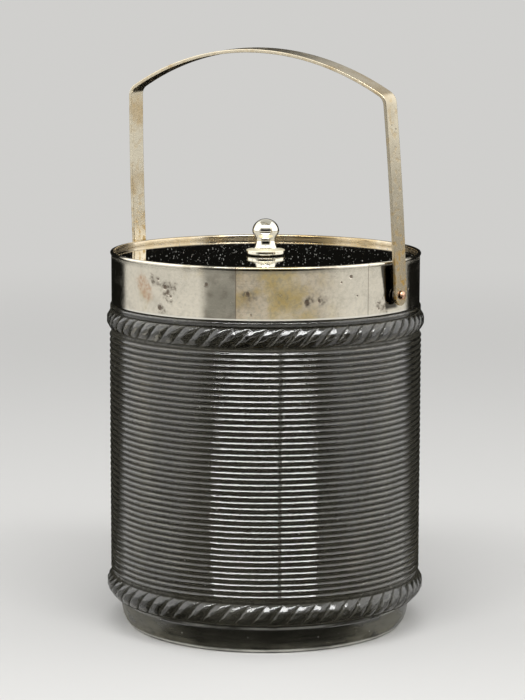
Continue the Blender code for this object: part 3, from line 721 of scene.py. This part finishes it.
# Both sides of the foot are painted lighter with the film: a painted reflection.
sideways = glass.vectors("DOT_PRODUCT", glass.vectors("NORMALIZE", glass.place()), across_the_room)
on_foot = glass.between(glass_level, FOOT_EDGE, FOOT_EDGE - 0.001)
painted_side_reflection = glass.between(sideways * sideways, 0.12, 0.6) * on_foot
film = glass.coats(FILM, (dust, DUST), (grime_and_shade, GRIME_AND_SHADE), (painted_foot_highlight, FOOT_HIGHLIGHT), (painted_groove_shade, GRIME_AND_SHADE))
film_shader = glass.shader(Base_Color=film, Roughness=0.5, Specular_IOR_Level=0.05)
streaks = glass.between(glass.cloud(60, 5, (1, 1, 0.25)), 0.35, 0.8)
low_on_jar = glass.between(glass_level, RIBS_TOP, RIBS_BOTTOM)
on_walls = 0.03 + low_on_jar * 0.05 + streaks * 0.12 + dust * 0.5 + grime_and_shade * 0.75
film_share = on_walls + painted_foot_highlight * 0.7 + over_edge * scuffs * 0.3 + painted_groove_shade * 0.9 \
    + painted_side_reflection * (0.10 + scuffs * 0.45)
coated = glass.node("ShaderNodeMixShader", None, {0: film_share, 1: clear, 2: film_shader})
shade_volume = glass.node("ShaderNodeVolumeAbsorption", None, {"Color": SHADE_IN_THE_GLASS, "Density": SHADE_PER_METRE})
dress(jar, glass.seal(coated, shade_volume), "pot", "glass_jar", flat_faces=False)

# %% [markdown]
# ## Worn silver plate
# The collar, the lid, the knob and the bail are base metal with a thin skin of silver. Where the skin has
# thinned the metal looks golden, where damp got in there are brown pits, and rubbing leaves fine hairlines.
# All but the lid share these layers, and so do the small metal pieces, so one helper stacks them. It gives
# back the colour, the roughness, how metallic each place is, and a height for the bump, so that a piece can
# add marks of its own on top.

# %% Stack the layers of worn plate
PIT_BROWN = (0.075, 0.045, 0.025, 1)
DULL = (0.42, 0.40, 0.35, 1)


def worn_plate(finish, silver, golden, golden_from, pit_share, smooth, grain=(1, 1, 1)):
    """Give colour, roughness, metal and height of worn plate."""
    thin = finish.between(finish.cloud(65, 6), golden_from, golden_from + 0.16)
    smudge = finish.between(finish.cloud(210, 5), 0.48, 0.78)
    fleck = finish.between(finish.cloud(1300, 3), 0.58, 0.72)
    hairline = finish.between(finish.cloud(420, 2, grain), 0.60, 0.68)
    pits = finish.specks(520, 0.20, pit_share)
    colour = finish.coats(silver, (thin * 0.85, golden), (smudge * 0.30 + fleck * 0.22, DULL),
                          (pits, PIT_BROWN))
    roughness = smooth + thin * 0.05 + smudge * 0.10 + fleck * 0.06 + hairline * 0.05 + pits * 0.3
    metal = 1 - pits * 0.7
    height = finish.cloud(34, 2) * 0.9 + finish.cloud(700, 3) * 0.05 - hairline * 0.015 - pits * 0.25
    return colour, roughness, metal, height


def seal_plate(finish, colour, roughness, metal, height, depth):
    """Finish worn plate with the shader that its layers feed."""
    plate = finish.shader(Base_Color=colour, Roughness=roughness, Metallic=metal,
                          Normal=finish.relief(height, depth))
    return finish.seal(plate)


def plain_plate(name, *layers, depth):
    """Give the finish of a piece whose worn plate has no marks of its own."""
    finish = Finish(name)
    return seal_plate(finish, *worn_plate(finish, *layers), depth)


# %% [markdown]
# ## The collar
# A strip of plate rolled into a ring, with a round bead turned over along its rim. Its marks are its face,
# so the ones that catch the eye are listed one by one: each has its place in degrees round the pot, its
# height, and its size. A little noise added to the distance makes a round patch ragged. The lower edge is
# painted bright, a painted highlight. Beside each leg of the bail, where it stands at rest, a dark wedge is
# painted on the collar, a painted reflection of the strap.

# %% Roll the collar
COLLAR_WALL = 0.0008
COLLAR_EDGE = 0.00015
BEAD = 0.00055
EDGE_BAND = 0.003
collar_inner = COLLAR_RADIUS - COLLAR_WALL
collar_section = arc((collar_high.y - BEAD, collar_high.z - BEAD), (BEAD, BEAD), 180, -45, 16)
collar_section += eased([(COLLAR_RADIUS, collar_high.z - 2 * BEAD, 0),
                         (COLLAR_RADIUS, collar_high.z - EDGE_BAND, 0),
                         (COLLAR_RADIUS, collar_low.z + EDGE_BAND, 0),
                         (COLLAR_RADIUS, collar_low.z, COLLAR_EDGE),
                         (collar_inner, collar_low.z, COLLAR_EDGE),
                         (collar_inner, collar_low.z + EDGE_BAND, 0)])
collar = turned("plated_collar", collar_section, RIB_COLUMNS)

# %% Drill it for the rivets
rivet_low, rivet_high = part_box("pivot_rivet_right")
PIVOT_LEVEL = (rivet_low.z + rivet_high.z) / 2
RIVET_SHANK = 0.0008
RIVET_HOLE = RIVET_SHANK + SEAT_GAP
DRILL_REACH = 0.06


def drill(piece):
    """Drill both rivet holes of a piece with one long bit along the pivot line."""
    bit = turned("rivet_drill", [(0, -DRILL_REACH), (RIVET_HOLE, -DRILL_REACH), (RIVET_HOLE, DRILL_REACH),
                                 (0, DRILL_REACH)], 36, loop=False)
    bit.data.transform(Matrix.Translation((0, 0, PIVOT_LEVEL)) @ Matrix.Rotation(math.radians(90), 4, "Y"))
    cut(piece, bit)
    print(piece.name, "is drilled at", round(1000 * PIVOT_LEVEL, 2), "mm")


drill(collar)

# %% Stain the collar
SILVER = (0.94, 0.875, 0.735, 1)
GOLDEN = (0.56, 0.43, 0.185, 1)
ROSY = (0.54, 0.44, 0.295, 1)
COPPERY = (0.70, 0.44, 0.27, 1)
INSIDE_GOLD = (0.50, 0.37, 0.19, 1)
TARNISH = (0.34, 0.32, 0.26, 1)
SCRATCH = (0.10, 0.07, 0.045, 1)
LOWER_EDGE_HIGHLIGHT = (0.98, 0.95, 0.86, 1)
SHADE_AND_REFLECTION_DARK = (0.035, 0.030, 0.022, 1)
# Degrees round the pot, height and radius of each brown pit
COLLAR_PITS = ((-95.9, 0.1054, 0.00045), (-91.4, 0.1019, 0.0010), (-92.6, 0.1031, 0.0007),
               (-90.0, 0.1009, 0.0006), (-75.6, 0.1048, 0.0007), (-60.4, 0.1026, 0.0006),
               (-39.6, 0.1002, 0.0007), (-35.0, 0.1004, 0.0005), (-22.5, 0.1068, 0.0005),
               (-9.6, 0.0970, 0.0008), (-95.1, 0.0973, 0.0007), (32, 0.1012, 0.0008),
               (71, 0.1040, 0.0005), (118, 0.0990, 0.0009), (160, 0.1022, 0.0006))
COPPERY_PATCHES = ((-104.5, 0.1035, 0.0034), (-101.5, 0.1012, 0.0028), (40, 0.1040, 0.0034))
RUSTY_PATCHES = ((-91.4, 0.1022, 0.0030), (-98.5, 0.1050, 0.0022), (-60.5, 0.1020, 0.0022),
                 (-39, 0.1002, 0.0020), (-34, 0.1006, 0.0016), (-7.5, 0.0975, 0.0030),
                 (-94, 0.0972, 0.0018), (118, 0.0985, 0.0030))
COLLAR_SEAMS = (-64.8, -14.8)
WEDGE_LEVEL = 0.0982
WEDGE_SPREAD = 4.1

plate = Finish("collar_plate")
spot = plate.apart(plate.place(), "X")
around = plate.maths("ARCTAN2", spot.output("Y"), spot)
level = spot.output("Z")
ragged = plate.cloud(380, 5) - 0.5


def beside(degrees):
    """Give how far round the collar a place lies from a bearing, in metres."""
    return (around - math.radians(degrees)) * COLLAR_RADIUS


def patch(degrees, height, radius, raggedness):
    """Give a mask of one ragged patch on the collar."""
    across = beside(degrees)
    rise = level - height
    reach = (across * across + rise * rise) ** 0.5 + ragged * (radius * raggedness)
    return plate.between(reach, radius * 1.35, radius * 0.2)


def patches(listed, raggedness):
    """Give one mask for several patches."""
    masks = [patch(*each, raggedness) for each in listed]
    total = masks[0]
    for mask in masks[1:]:
        total = total + mask
    return plate.between(total, 0, 1)


def stretch_of(*degrees):
    """Give a mask of a stretch of plate. It rises between two bearings and fades between two more."""
    return plate.within(around, *map(math.radians, degrees))


colour, roughness, metal, height = worn_plate(plate, SILVER, GOLDEN, 0.58, 0.05, 0.10, (0.06, 0.06, 1.6))
coppery = patches(COPPERY_PATCHES, 1.6)
rusty = patches(RUSTY_PATCHES, 3.0)
pits = patches(COLLAR_PITS, 3.0)
dark_seam, faint_seam = [plate.within(beside(degrees), -0.00028, 0, 0, 0.00022) for degrees in COLLAR_SEAMS]
seams = dark_seam + faint_seam * 0.7
mottle = plate.between(plate.cloud(130, 6), 0.30, 0.66)
grained = plate.between(plate.cloud(1000, 6), 0.42, 0.66)
greyed = stretch_of(-79, -74.5, -65.2, -64.7) * (0.70 + mottle * 0.3)
toned = stretch_of(-65.1, -64.7, -44, -20) * (0.55 + mottle * 0.45) \
    + stretch_of(72, 96, 118, 150) * mottle * 0.8
yellowed = plate.between(mottle + stretch_of(-60, -49, -46, -34) * 0.8, 0.55, 1.25)
under_bead = plate.within(level, collar_high.z - 0.0024, collar_high.z - 0.0013, collar_high.z - 0.0010,
                          collar_high.z - 0.0007)
# The lower edge is painted bright: a painted highlight.
painted_lower_edge_highlight = plate.between(level, collar_low.z + 0.0007, collar_low.z + 0.0004)
# A dark wedge beside each bail leg is painted on the outside of the collar: a painted reflection of the
# strap.
from_pivot = plate.maths("ARCTAN2", spot.output("Y"), plate.maths("ABSOLUTE", spot))
wedge_edge = math.radians(-6.4) - (level - WEDGE_LEVEL) * WEDGE_SPREAD + ragged * 0.025
painted_wedge_reflection = plate.between(from_pivot - wedge_edge, 0, math.radians(0.8)) \
    * plate.between(from_pivot, math.radians(3), 0) \
    * plate.within(level, WEDGE_LEVEL - 0.0022, WEDGE_LEVEL - 0.0012, collar_high.z - 0.0012,
                   collar_high.z - 0.0009)
blotched = plate.between(plate.cloud(330, 6), 0.45, 0.70)
from_axis = plate.vectors("LENGTH", plate.vectors("MULTIPLY", plate.place(), (1, 1, 0)))
inner_side = plate.between(from_axis, COLLAR_RADIUS - 0.0003, COLLAR_RADIUS - 0.0006)
colour = plate.coats(
    colour,
    (toned, plate.mix(yellowed, ROSY, GOLDEN)),
    (coppery * (0.35 + grained * 0.45), COPPERY),
    (rusty * (0.25 + grained * 0.6), SCRATCH),
    (greyed, TARNISH),
    (greyed * blotched * 0.4, SCRATCH),
    (under_bead * 0.45 + grained * (0.10 + toned * 0.30) + blotched * 0.14, TARNISH),
    (inner_side * (0.40 + mottle * 0.4), INSIDE_GOLD),
    (pits * 0.9 + seams * 0.8, SCRATCH),
    (painted_lower_edge_highlight * 0.8, LOWER_EDGE_HIGHLIGHT),
    (painted_wedge_reflection * (0.92 - inner_side * 0.92), SHADE_AND_REFLECTION_DARK))
roughness = roughness + toned * 0.05 + greyed * 0.06 + pits * 0.25 + under_bead * 0.15
metal = metal - pits * 0.5
height = height - pits * 0.30 - seams * 0.10 - grained * 0.01
collar_finish = seal_plate(plate, colour, roughness, metal, height, 0.00022)
dress(collar, collar_finish, "pot", "collar")

# %% [markdown]
# ## The lid
# The lid is a flat disc of plate, still as bright as a mirror. A mirror has no colour of its own: it shows
# the dim wall above the horizon, the knob and the inside of the rim. What makes it look real is the dust on
# it. We look along the lid, so flat painted specks would shrink to nothing. Real grains stand up, so a few
# hundred tiny round ones are added to the mesh, and the mirror doubles each of them.

# %% Cut the lid
lid_low, lid_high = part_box("lid_plate")
SCREW_HOLE = 0.0016
EDGE_BREAK = 0.0002
MIDDLE_RING = 0.030
lid_section = eased([(lid_high.y, lid_high.z, EDGE_BREAK), (lid_high.y, lid_low.z, EDGE_BREAK),
                     (MIDDLE_RING, lid_low.z, 0), (SCREW_HOLE, lid_low.z, 0), (SCREW_HOLE, lid_high.z, 0),
                     (MIDDLE_RING, lid_high.z, 0)], closed=True)
lid = turned("mirror_lid", lid_section, RIB_COLUMNS)

# %% Let dust fall on the lid
GRAINS = 640
FINEST_GRAIN = 0.00003
COARSEST_GRAIN = 0.00014
FINE_GRAINS = 2.2
DUST_FROM = 0.0068
DUST_TO = lid_high.y - 0.001
DUST_SPREAD = 0.6
GRAIN_LUMP = 0.25
dust_fall = random.Random(7)
dusty_lid = bmesh.new()
dusty_lid.from_mesh(lid.data)
for grain in range(GRAINS):
    grain_size = FINEST_GRAIN + (COARSEST_GRAIN - FINEST_GRAIN) * dust_fall.random() ** FINE_GRAINS
    out = DUST_FROM + (DUST_TO - DUST_FROM) * dust_fall.random() ** DUST_SPREAD
    bearing = math.tau * dust_fall.random()
    lying = Vector((out * math.cos(bearing), out * math.sin(bearing), lid_high.z + grain_size * 0.7))
    made = bmesh.ops.create_icosphere(dusty_lid, subdivisions=1, radius=grain_size,
                                      matrix=Matrix.Translation(lying))
    for vertex in made["verts"]:
        vertex.co += Vector([dust_fall.uniform(-GRAIN_LUMP, GRAIN_LUMP) * grain_size for _ in range(3)])
dusty_lid.to_mesh(lid.data)
dusty_lid.free()
print(GRAINS, "grains of dust lie on the lid")

MIRROR = (0.465, 0.455, 0.433, 1)
GRAIN_GREY = (0.28, 0.28, 0.262, 1)

mirror = Finish("lid_mirror")
bloom = mirror.between(mirror.cloud(120, 5), 0.45, 0.8)
grains = mirror.between(mirror.apart(mirror.place()), lid_high.z + 0.00001, lid_high.z + 0.00003)
mirror_colour = mirror.coats(MIRROR, (bloom * 0.3, TARNISH), (grains, GRAIN_GREY))
top = mirror.shader(Base_Color=mirror_colour, Roughness=0.04 + bloom * 0.04 + grains * 0.5,
                    Metallic=1 - grains, Normal=mirror.relief(mirror.cloud(30, 2), 0.00003))
dress(lid, mirror.seal(top), "lid", "lid_plate")

# %% [markdown]
# ## The knob
# The knob was turned on a lathe: a ball, a slim neck, a stem that flares like a trumpet, and a flange that
# sits on the lid. It is handled every day, so it is the brightest piece. Polish is left in the neck, where
# no cloth reaches, and has gone dark. The bottom edge of the flange is painted dark, a painted contact
# shadow that the lid mirrors. The flat of the flange is painted pale and matt, a painted highlight.

# %% Turn the knob
knob_low, knob_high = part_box("lid_knob")
FLANGE_THICK = 0.00150
FLANGE_FALL = 0.00015
FLANGE_ROUND = 0.00040
STEM_FOOT = 0.0044
STEM_HEIGHT = 0.00280
NECK = 0.0028
WAIST = 0.0024
BALL = 0.0039
DOME = 0.0036
SCREW_DEPTH = 0.0047
WAIST_STEPS = 8
STEM_STEPS = 10
flange_top = knob_low.z + FLANGE_THICK
knob_neck_level = flange_top + STEM_HEIGHT
ball_level = knob_neck_level + WAIST

knob_section = [(0, ball_level + DOME)]
knob_section += arc((0, ball_level), (BALL, DOME), 84, 0, 14)
for step in range(1, WAIST_STEPS + 1):
    swell = (1 + math.cos(math.pi * step / WAIST_STEPS)) / 2
    knob_section.append((NECK + (BALL - NECK) * swell, ball_level - WAIST * step / WAIST_STEPS))
for step in range(1, STEM_STEPS + 1):
    quarter = math.pi / 2 * step / STEM_STEPS
    knob_section.append((NECK + (STEM_FOOT - NECK) * (1 - math.cos(quarter)),
                         knob_neck_level - STEM_HEIGHT * math.sin(quarter)))
flange_edge = knob_high.y - FLANGE_ROUND
knob_section += arc((flange_edge, flange_top - FLANGE_FALL - FLANGE_ROUND), (FLANGE_ROUND, FLANGE_ROUND),
                    80, 0, 6)
knob_section += arc((flange_edge, knob_low.z + FLANGE_ROUND), (FLANGE_ROUND, FLANGE_ROUND), 0, -90, 6)
knob_section += [(SCREW_HOLE, knob_low.z), (SCREW_HOLE, knob_low.z + SCREW_DEPTH),
                 (0, knob_low.z + SCREW_DEPTH)]
knob = turned("turned_knob", knob_section, 96, loop=False)

BRIGHT = (0.93, 0.885, 0.75, 1)
POLISH_AND_SHADE = (0.30, 0.26, 0.14, 1)
FLANGE_HIGHLIGHT = (0.73, 0.67, 0.49, 1)
bright = Finish("knob_plate")
colour, roughness, metal, height = worn_plate(bright, BRIGHT, GOLDEN, 0.66, 0.02, 0.07)
knob_level = bright.apart(bright.place())
in_neck = bright.within(knob_level, knob_neck_level - 0.0006, knob_neck_level + 0.0002,
                        knob_neck_level + 0.0003, knob_neck_level + 0.0011)
# The flat of the flange is painted pale and matt: a painted highlight.
flange_painted_highlight = bright.within(knob_level, flange_top - 0.0005, flange_top - 0.0003, flange_top + 0.0001,
                          flange_top + 0.0004)
# The bottom edge of the flange is painted dark: a painted contact shadow, which the lid mirrors. The neck
# holds dark polish.
under_flange = bright.between(knob_level, knob_low.z + 0.0003, knob_low.z)
polish_and_contact_shade = bright.between(in_neck * 0.25 + under_flange * 0.8, 0, 1)
colour = bright.coats(colour, (polish_and_contact_shade, POLISH_AND_SHADE), (flange_painted_highlight, FLANGE_HIGHLIGHT))
roughness = roughness + polish_and_contact_shade * 0.2 + flange_painted_highlight * 0.35
metal = metal - flange_painted_highlight * 0.55
knob_finish = seal_plate(bright, colour, roughness, metal, height, 0.00006)
dress(knob, knob_finish, "lid", "lid_knob")

# %% [markdown]
# ## The bail
# The bail is one flat strap. Each leg leans in a little as it rises, bends over at a tight shoulder and
# runs into a low arch. Its ends are rounded discs for the rivets. A curve with a bevel could make the
# route, but not the rounded ends, so small rings of the strap's own section follow the route instead, and
# shrink at each end as the disc does.

# %% Lay out the strap's route
spacer_low, spacer_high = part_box("pivot_spacer_right")
STRAP_WIDTH = 0.0056
STRAP_THICK = 0.0010
STRAP_END = STRAP_WIDTH / 2 + 0.0002
LEG_HEIGHT = 0.0556
LEG_DRAW = 0.00165
ARCH_RISE = 0.0123
SHOULDER_BEND = 0.0036
BAIL_LEAN = math.radians(4)
LEG_RINGS = 24
BEND_RINGS = 10
ARCH_RINGS = 40
strap_x = spacer_high.x + SEAT_GAP + STRAP_THICK / 2
shoulder_x = strap_x - LEG_DRAW
arch_radius = (shoulder_x ** 2 + ARCH_RISE ** 2) / (2 * ARCH_RISE)
arch_centre = LEG_HEIGHT + ARCH_RISE - arch_radius
arch_angle = math.asin(shoulder_x / arch_radius)
leg_slope = math.atan(2 * LEG_DRAW / LEG_HEIGHT)
tangent = SHOULDER_BEND * math.tan((math.pi / 2 - arch_angle - leg_slope) / 2)


def leg_point(rise):
    """Give the right leg's middle line at a height over the pivot."""
    return Vector((strap_x - LEG_DRAW * (rise / LEG_HEIGHT) ** 2, 0, rise))


def arch_point(angle):
    """Give the arch's middle line at an angle from its top."""
    return Vector((arch_radius * math.sin(angle), 0, arch_centre + arch_radius * math.cos(angle)))


END_ANGLES = (6, 14, 24, 35, 46, 57, 68.9)
right_half = [(Vector((strap_x, 0, -STRAP_END * math.cos(math.radians(degrees)))),
               STRAP_END * math.sin(math.radians(degrees))) for degrees in END_ANGLES]
leg_top = LEG_HEIGHT - tangent * math.cos(leg_slope)
right_half += [(leg_point(leg_top * step / LEG_RINGS), STRAP_WIDTH / 2) for step in range(LEG_RINGS + 1)]
arch_end = arch_angle - tangent / arch_radius
bend_from = leg_point(leg_top)
bend_to = arch_point(arch_end)
corner = Vector((shoulder_x, 0, LEG_HEIGHT))
for step in range(1, BEND_RINGS):
    bend_share = step / BEND_RINGS
    bent = bend_from.lerp(corner, bend_share).lerp(corner.lerp(bend_to, bend_share), bend_share)
    right_half.append((bent, STRAP_WIDTH / 2))
right_half += [(arch_point(arch_end * (1 - step / ARCH_RINGS)), STRAP_WIDTH / 2)
               for step in range(ARCH_RINGS)]
left_half = [(Vector((-point.x, 0, point.z)), half) for point, half in right_half]
route = right_half + [(arch_point(0), STRAP_WIDTH / 2)] + left_half[::-1]
print("the strap's route has", len(route), "rings")

# %% Bend the strap
CORNER_ROUND = 0.00022
CORNER_STEPS = 4


def strap_section(half_width, half_thick):
    """Give the strap's own section as (across, out) points, with eased corners."""
    ease = min(CORNER_ROUND, half_width * 0.6)
    section = []
    for quarter, (side, face) in enumerate(((1, 1), (-1, 1), (-1, -1), (1, -1))):
        for step in range(CORNER_STEPS):
            angle = math.pi / 2 * (quarter + step / (CORNER_STEPS - 1))
            section.append((side * (half_width - ease) + ease * math.cos(angle),
                            face * (half_thick - ease) + ease * math.sin(angle)))
    return section


lean = Matrix.Translation((0, 0, PIVOT_LEVEL)) @ Matrix.Rotation(BAIL_LEAN, 4, "X")
strap_rings = []
for index, (point, half_width) in enumerate(route):
    before = route[max(index - 1, 0)][0]
    after = route[min(index + 1, len(route) - 1)][0]
    heading = (after - before).normalized()
    outward = Vector((heading.z, 0, -heading.x))
    strap_rings.append([lean @ (point + Vector((0, across, 0)) + outward * out)
                        for across, out in strap_section(half_width, STRAP_THICK / 2)])
bail = skin("strap_bail", strap_rings)
drill(bail)

# %% [markdown]
# The bail's plate is the most worn. It is warm and cream-coloured with brown freckles, and browner towards
# the rivets where water sits. Its right side is painted darker, a painted shade. The face that lies against
# the collar near the rivets is painted black, a painted shade, and the collar mirrors it as a dark band.

# %% Wear the strap
CREAM = (0.87, 0.795, 0.625, 1)
SHADED_CREAM = (0.40, 0.355, 0.265, 1)
BROWN = (0.47, 0.30, 0.09, 1)
TAN = (0.60, 0.47, 0.28, 1)

worn = Finish("bail_plate")
colour, roughness, metal, height = worn_plate(worn, CREAM, TAN, 0.50, 0.16, 0.20)
strap_side = worn.apart(worn.place(), "X")
strap_level = strap_side.output("Z")
low_down = worn.between(strap_level, PIVOT_LEVEL + 0.030, PIVOT_LEVEL + 0.002)
freckles = worn.between(worn.cloud(560, 5), 0.50, 0.66)
# The right side of the strap is painted darker: a painted shade.
painted_right_shade = worn.between(strap_side, -0.01, 0.03)
arched = worn.between(strap_level, PIVOT_LEVEL + LEG_HEIGHT - 0.002, PIVOT_LEVEL + LEG_HEIGHT + 0.003)
browned = freckles * (0.25 + low_down * 0.55) + low_down * 0.24 + arched * 0.15
# The strap's face toward the collar, near the rivets, is painted black: a painted shade.
painted_inner_face_shade = worn.between(worn.maths("ABSOLUTE", strap_side), strap_x - 0.0002, strap_x - 0.0004) \
    * worn.between(strap_level, PIVOT_LEVEL + 0.0095, PIVOT_LEVEL + 0.0070)
colour = worn.coats(colour, (painted_right_shade * (0.84 - arched * 0.64), SHADED_CREAM), (browned, BROWN),
                    (painted_inner_face_shade * 0.95, SHADE_AND_REFLECTION_DARK))
roughness = roughness + browned * 0.15
height = height - freckles * 0.06
bail_finish = seal_plate(worn, colour, roughness, metal, height, 0.00016)
dress(bail, bail_finish, "bail", "bail_handle")

# %% [markdown]
# ## Rivets and spacers
# Two copper rivets carry the bail. Each has a head domed by a few hammer blows and a tail spread flat
# inside the collar. A small washer keeps the strap off the collar. All four are turned pieces that lie on
# their side, so they are turned upright first and then laid along the pivot line.

# %% Set the rivets
RIVET_HEAD = 0.00125
RIVET_HEAD_RISE = 0.0008
TAIL_RADIUS = 0.0013
TAIL_RISE = 0.0005
COPPER = (0.68, 0.43, 0.29, 1)
COPPER_DARK = (0.30, 0.15, 0.09, 1)
NICKEL = (0.58, 0.54, 0.46, 1)
HAMMER_MARKS = 1300
TURNED_EASE = 0.0001

copper = Finish("hammered_copper")
darkened = copper.between(copper.cloud(900, 4), 0.42, 0.68)
dents = copper.node("ShaderNodeTexVoronoi", None, {"Vector": copper.place(), "Scale": HAMMER_MARKS})
copper_shader = copper.shader(Base_Color=copper.mix(darkened * 0.7, COPPER, COPPER_DARK),
                              Roughness=0.22 + darkened * 0.25, Metallic=1.0,
                              Normal=copper.relief(dents, 0.00012))
copper_finish = copper.seal(copper_shader)

nickel_finish = plain_plate("dull_nickel_silver", NICKEL, BROWN, 0.48, 0.10, 0.34, depth=0.00005)

head_x = rivet_high.x - RIVET_HEAD_RISE
tail_x = rivet_low.x + TAIL_RISE
rivet_section = [(0, rivet_high.x)] + arc((0, head_x), (RIVET_HEAD, RIVET_HEAD_RISE), 82, 0, 10)
rivet_section += [(RIVET_SHANK, head_x), (RIVET_SHANK, tail_x)]
rivet_section += arc((0, tail_x), (TAIL_RADIUS, TAIL_RISE), 0, -82, 8) + [(0, rivet_low.x)]
spacer_radius = spacer_high.z - PIVOT_LEVEL


def ring_section(inner, outer, low, high):
    """Give a plain ring's section between two radii and two heights, with its four edges eased."""
    return eased([(inner, low, TURNED_EASE), (outer, low, TURNED_EASE), (outer, high, TURNED_EASE),
                  (inner, high, TURNED_EASE)], closed=True)


spacer_section = ring_section(RIVET_HOLE, spacer_radius, spacer_low.x, spacer_high.x)
for side, quarter in (("right", 90), ("left", -90)):
    rivet = turned("copper_rivet_" + side, rivet_section, 36, loop=False)
    spacer = turned("strap_washer_" + side, spacer_section, 36)
    laid = Matrix.Translation((0, 0, PIVOT_LEVEL)) @ Matrix.Rotation(math.radians(quarter), 4, "Y")
    for piece in (rivet, spacer):
        piece.data.transform(laid)
    dress(rivet, copper_finish, "pot", "pivot_rivet_" + side)
    dress(spacer, nickel_finish, "pot", "pivot_spacer_" + side)

# %% [markdown]
# ## What hides under the lid
# Lift the lid and there is a ledge ring that carries it, a bezel that centres it, and the screw and washer
# that hold the knob. They are turned like the rest, and the screw's slot is cut.

# %% Turn the hidden rings
LEDGE_WIDTH = 0.0027
BEZEL_WALL = 0.0006
LEDGE_GREY = (0.68, 0.64, 0.55, 1)
BEZEL_GREY = (0.70, 0.66, 0.57, 1)

ledge_finish = plain_plate("ledge_plate", LEDGE_GREY, GOLDEN, 0.48, 0.12, 0.30, depth=0.0001)
ledge_low, ledge_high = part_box("lid_ledge_ring")
ledge_section = ring_section(ledge_high.y - LEDGE_WIDTH, ledge_high.y, ledge_low.z, ledge_high.z)
dress(turned("lid_ledge", ledge_section, RIB_COLUMNS), ledge_finish, "pot", "lid_ledge_ring")

bezel_finish = plain_plate("bezel_plate", BEZEL_GREY, GOLDEN, 0.50, 0.08, 0.26, depth=0.0001)
bezel_low, bezel_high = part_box("lid_bezel")
bezel_section = ring_section(bezel_high.y - BEZEL_WALL, bezel_high.y, bezel_low.z, bezel_high.z)
dress(turned("centring_bezel", bezel_section, RIB_COLUMNS), bezel_finish, "lid", "lid_bezel")

# %% Turn the screw and its washer, and cut the slot
BRASS = (0.72, 0.55, 0.27, 1)
BRASS_BROWN = (0.52, 0.34, 0.16, 1)
SCREW_SHANK = 0.0013
HEAD_HEIGHT = 0.0016
SLOT_WIDTH = 0.0007
SLOT_DEPTH = 0.0006
SLOT_REACH = 0.01

brass_finish = plain_plate("turned_brass", BRASS, BRASS_BROWN, 0.50, 0.08, 0.28, depth=0.00004)
washer_low, washer_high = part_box("knob_washer")
washer_section = ring_section(SCREW_HOLE, washer_high.y, washer_low.z, washer_high.z)
dress(turned("screw_washer", washer_section, 72), brass_finish, "lid", "knob_washer")

screw_low, screw_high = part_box("knob_screw")
head_top = screw_low.z + HEAD_HEIGHT
screw_section = eased([(0, screw_high.z, 0), (SCREW_SHANK, screw_high.z, 0.0002),
                       (SCREW_SHANK, head_top, 0), (screw_high.y, head_top, 0.0002),
                       (screw_high.y, screw_low.z, 0.0003), (0, screw_low.z, 0)])
screw = turned("slotted_screw", screw_section, 48, loop=False)
slot_shape = bmesh.new()
bmesh.ops.create_cube(slot_shape, size=1)
bmesh.ops.scale(slot_shape, verts=slot_shape.verts, vec=(SLOT_REACH, SLOT_WIDTH, 2 * SLOT_DEPTH))
bmesh.ops.translate(slot_shape, verts=slot_shape.verts, vec=(0, 0, screw_low.z))
cut(screw, made_of(slot_shape, "slot_cutter"))
dress(screw, brass_finish, "lid", "knob_screw")

# %% [markdown]
# ## The plaster
# The collar isn't soldered on: it is bedded in plaster of Paris round the neck. Only a rough ring of it
# shows, from inside and through the glass. Its top was wiped by a finger, so it is lumpy.

# %% Bed the collar in plaster
cement_low, cement_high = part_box("mount_cement")
LUMP = 0.00035
LUMPS_PER_METRE = 400
WIPED_BAND = 0.0004
CHALK = (0.80, 0.77, 0.70, 1)
CHALK_STAIN = (0.62, 0.56, 0.46, 1)

cement_inner = cement_high.y - CEMENT_WALL
cement_section = eased([(cement_inner, cement_low.z, 0.0001), (cement_high.y, cement_low.z, 0.0001),
                        (cement_high.y, cement_high.z, 0.0002),
                        (cement_high.y - CEMENT_WALL / 2, cement_high.z, 0),
                        (cement_inner, cement_high.z, 0.0002)], closed=True)
cement = turned("neck_plaster", cement_section, RIB_COLUMNS)
for vertex in cement.data.vertices:
    if vertex.co.z > cement_high.z - WIPED_BAND:
        vertex.co.z -= LUMP * abs(noise.noise(vertex.co * LUMPS_PER_METRE))

plaster = Finish("plaster_of_paris")
chalk = plaster.mix(plaster.between(plaster.cloud(240, 5), 0.35, 0.7), CHALK, CHALK_STAIN)
chalk_grains = plaster.cloud(2200, 4)
plaster_shader = plaster.shader(Base_Color=chalk, Roughness=0.80 + chalk_grains * 0.15,
                                Normal=plaster.relief(chalk_grains, 0.0001))
dress(cement, plaster.seal(plaster_shader), "pot", "mount_cement")
